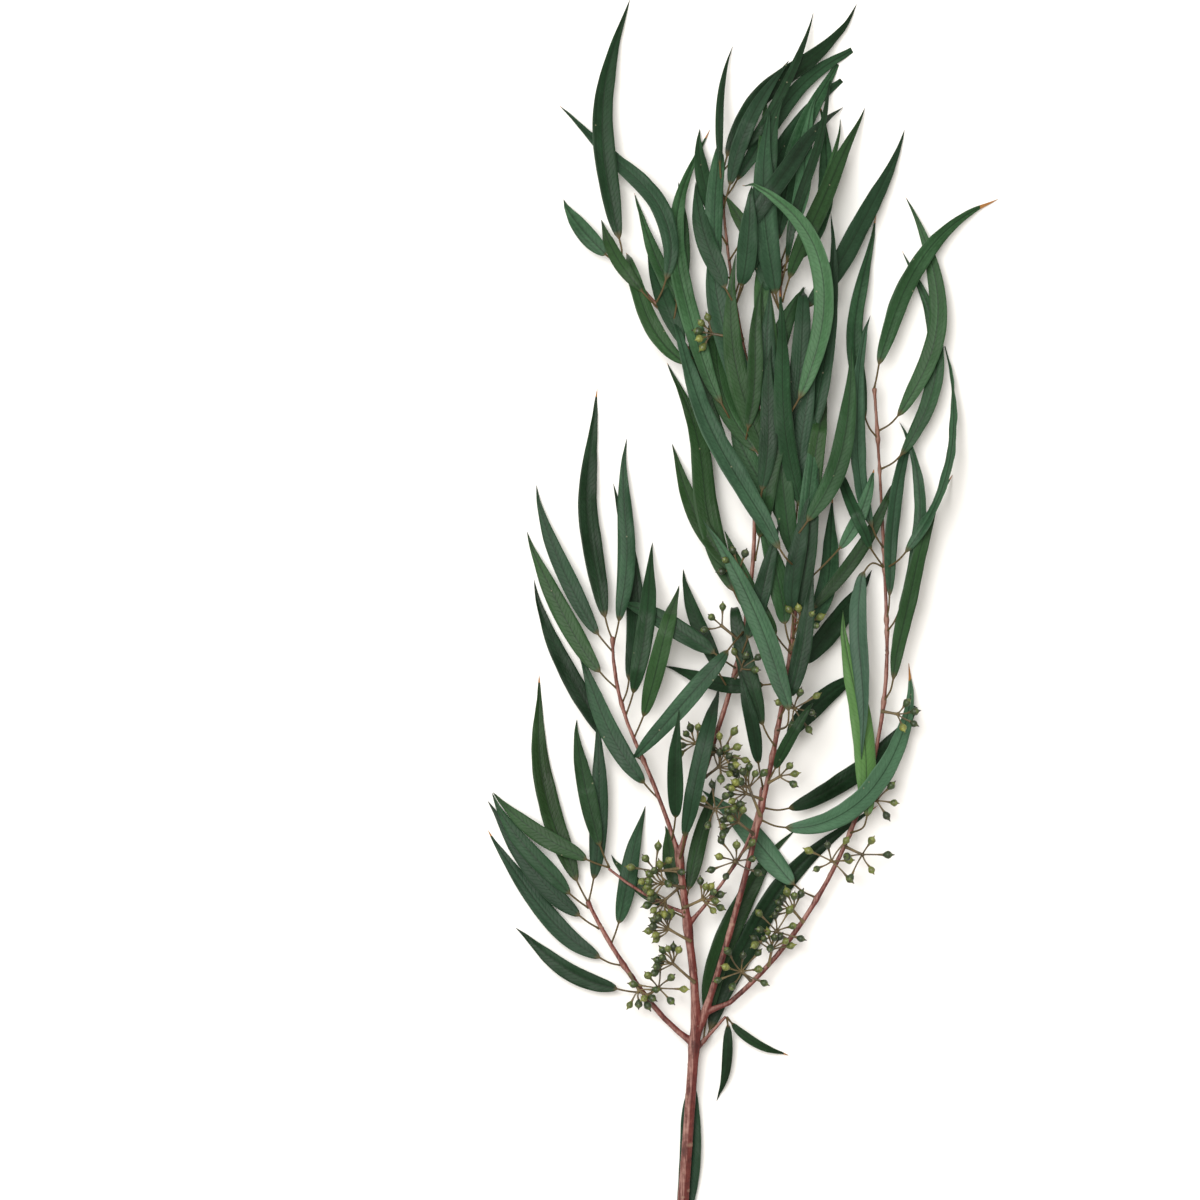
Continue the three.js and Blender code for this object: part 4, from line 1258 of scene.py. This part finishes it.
# Smaller clusters, each beside a leaf or a cluster that the frame has
extraSprays = [
    {"beside": "bud_cluster_01", "slide": 14, "heading": 150, "stalk": 9, "buds": 5},
    {"beside": "leaf_37", "slide": 2, "heading": -22, "stalk": 15, "buds": 7},
    {"beside": "low_leaf_05", "slide": 13, "heading": 60, "stalk": 6, "buds": 4},
    {"beside": "leaf_31", "slide": -1, "heading": 25, "stalk": 13, "buds": 6},
    {"beside": "leaf_35", "slide": -6, "heading": -50, "stalk": 13, "buds": 3},
    {"beside": "leaf_32", "slide": -7, "heading": 35, "stalk": 8, "buds": 4},
    {"beside": "leaf_27", "slide": 15, "heading": -40, "stalk": 9, "buds": 4},
    {"beside": "leaf_20", "slide": -30, "heading": -80, "stalk": 15, "buds": 5},
    {"beside": "leaf_11", "slide": 18, "heading": 95, "stalk": 7, "buds": 3},
    {"beside": "leaf_04", "slide": -5, "heading": 100, "stalk": 7, "buds": 4},
    {"beside": "leaf_01", "slide": -41, "heading": -60, "stalk": 12, "buds": 9},
    {"beside": "leaf_01", "slide": -14, "heading": -78, "stalk": 10, "buds": 7},
    {"beside": "leaf_01", "slide": -24, "heading": 64, "stalk": 9, "buds": 8},
    {"beside": "leaf_01", "slide": -62, "heading": -48, "stalk": 14, "buds": 8},
    {"beside": "bud_cluster_06", "slide": 16, "heading": -52, "stalk": 9, "buds": 8},
    {"beside": "bud_cluster_06", "slide": 34, "heading": -70, "stalk": 8, "buds": 7},
    {"beside": "bud_cluster_08", "slide": 14, "heading": 52, "stalk": 8, "buds": 8},
    {"beside": "bud_cluster_08", "slide": 26, "heading": -58, "stalk": 10, "buds": 6},
    {"beside": "bud_cluster_07", "slide": -10, "heading": -130, "stalk": 9, "buds": 7},
    {"beside": "bud_cluster_02", "slide": 12, "heading": 10, "stalk": 8, "buds": 7},
    {"beside": "bud_cluster_03", "slide": 12, "heading": -40, "stalk": 8, "buds": 7},
]


fanForm = {
    "spread": 78,  # degrees to either side
    "rises": (0.12, 0.62),  # radians, in turn
    "uneven": 0.1,
    "reach": (7.5, 10.5),
    "footRise": 3,
    "hubRise": 3 * mm,
}


def fanBuds(hub, heading, count, draw):  # buds spread round the way that the stalk points
    buds = []
    for k in range(count):
        turn = heading + fanForm["spread"] * ((2 * k + 1) / count - 1)
        rise = fanForm["rises"][k % 2] + draw.uniform(-1, 1) * fanForm["uneven"]
        axis = inPlan(turn, math.cos(rise)) + Vector((0, 0, math.sin(rise)))
        buds.append((hub + axis * draw.uniform(*fanForm["reach"]) * mm, axis))
    return buds


for key, row in enumerate(extraSprays):
    draw = random.Random(seeds["fan"] + key)
    foot = footBeside({"rise": fanForm["footRise"], **row})
    hub = foot + inPlan(row["heading"], row["stalk"] * mm) + Vector((0, 0, fanForm["hubRise"]))
    buds = fanBuds(hub, row["heading"], row["buds"], draw)
    makeSpray(f"extraSpray{key + 1:02d}", foot, hub, buds, seeds["spray"] + key)
print("bud clusters made:", len(clusterNames) + len(extraSprays))

for blank in (leafBlank, budBlank, hubBlank):
    bpy.data.objects.remove(blank)


def makeSurface():
    bpy.ops.mesh.primitive_grid_add(x_subdivisions=24, y_subdivisions=24, size=surface["size"])
    floor = bpy.context.active_object
    floor.name = "paintedSurface"
    material, tree, shader = newMaterial("paintedWhite")
    place = addNode(tree, "ShaderNodeTexCoord", (-900, 0)).outputs["Object"]
    clouds = useGroup(tree, mottle, (-600, 0), {"Place": place, "Broad": 6.0, "Fine": 60.0})["Value"]
    colour = blend(tree, (0, 0), clouds, surface["colour"], surface["patches"])
    tree.links.new(colour, shader.inputs["Base Color"])
    shader.inputs["Roughness"].default_value = surface["roughness"]
    shader.inputs["Specular IOR Level"].default_value = surface["specular"]
    floor.data.materials.append(material)


def makeSky():
    world = bpy.data.worlds.new("studioSky")
    bpy.context.scene.world = world
    world.use_nodes = True
    sky = world.node_tree.nodes["Background"]
    sky.inputs["Color"].default_value = studio["sky"]
    sky.inputs["Strength"].default_value = studio["skyStrength"]


def makeLamp():  # one large soft light, aimed from its place at the origin
    bpy.ops.object.light_add(type="AREA", location=studio["keyPlace"])
    lamp = bpy.context.active_object
    lamp.name = "softKey"
    lamp.data.size = studio["keySize"]
    lamp.data.energy = studio["keyPower"]
    lamp.data.color = studio["keyColour"]
    lamp.rotation_euler = (-Vector(studio["keyPlace"])).to_track_quat("-Z", "Y").to_euler()


def makeCamera():  # straight above, and as high as the lens needs to take in what the view covers
    overhead = bpy.data.cameras.new("overhead")
    camera = bpy.data.objects.new("overhead", overhead)
    bpy.context.scene.collection.objects.link(camera)
    overhead.lens = view["lens"]
    overhead.clip_end = 50
    height = view["covers"] * view["lens"] / overhead.sensor_width + view["pileMiddle"]
    right, up = view["fromCutEnd"]
    camera.location = (cutEnd[0] + right, cutEnd[1] + up, height)
    bpy.context.scene.camera = camera
    bpy.context.scene.view_settings.view_transform = "Standard"


makeSurface()
makeSky()
makeLamp()
makeCamera()
print("stage, light and camera set")
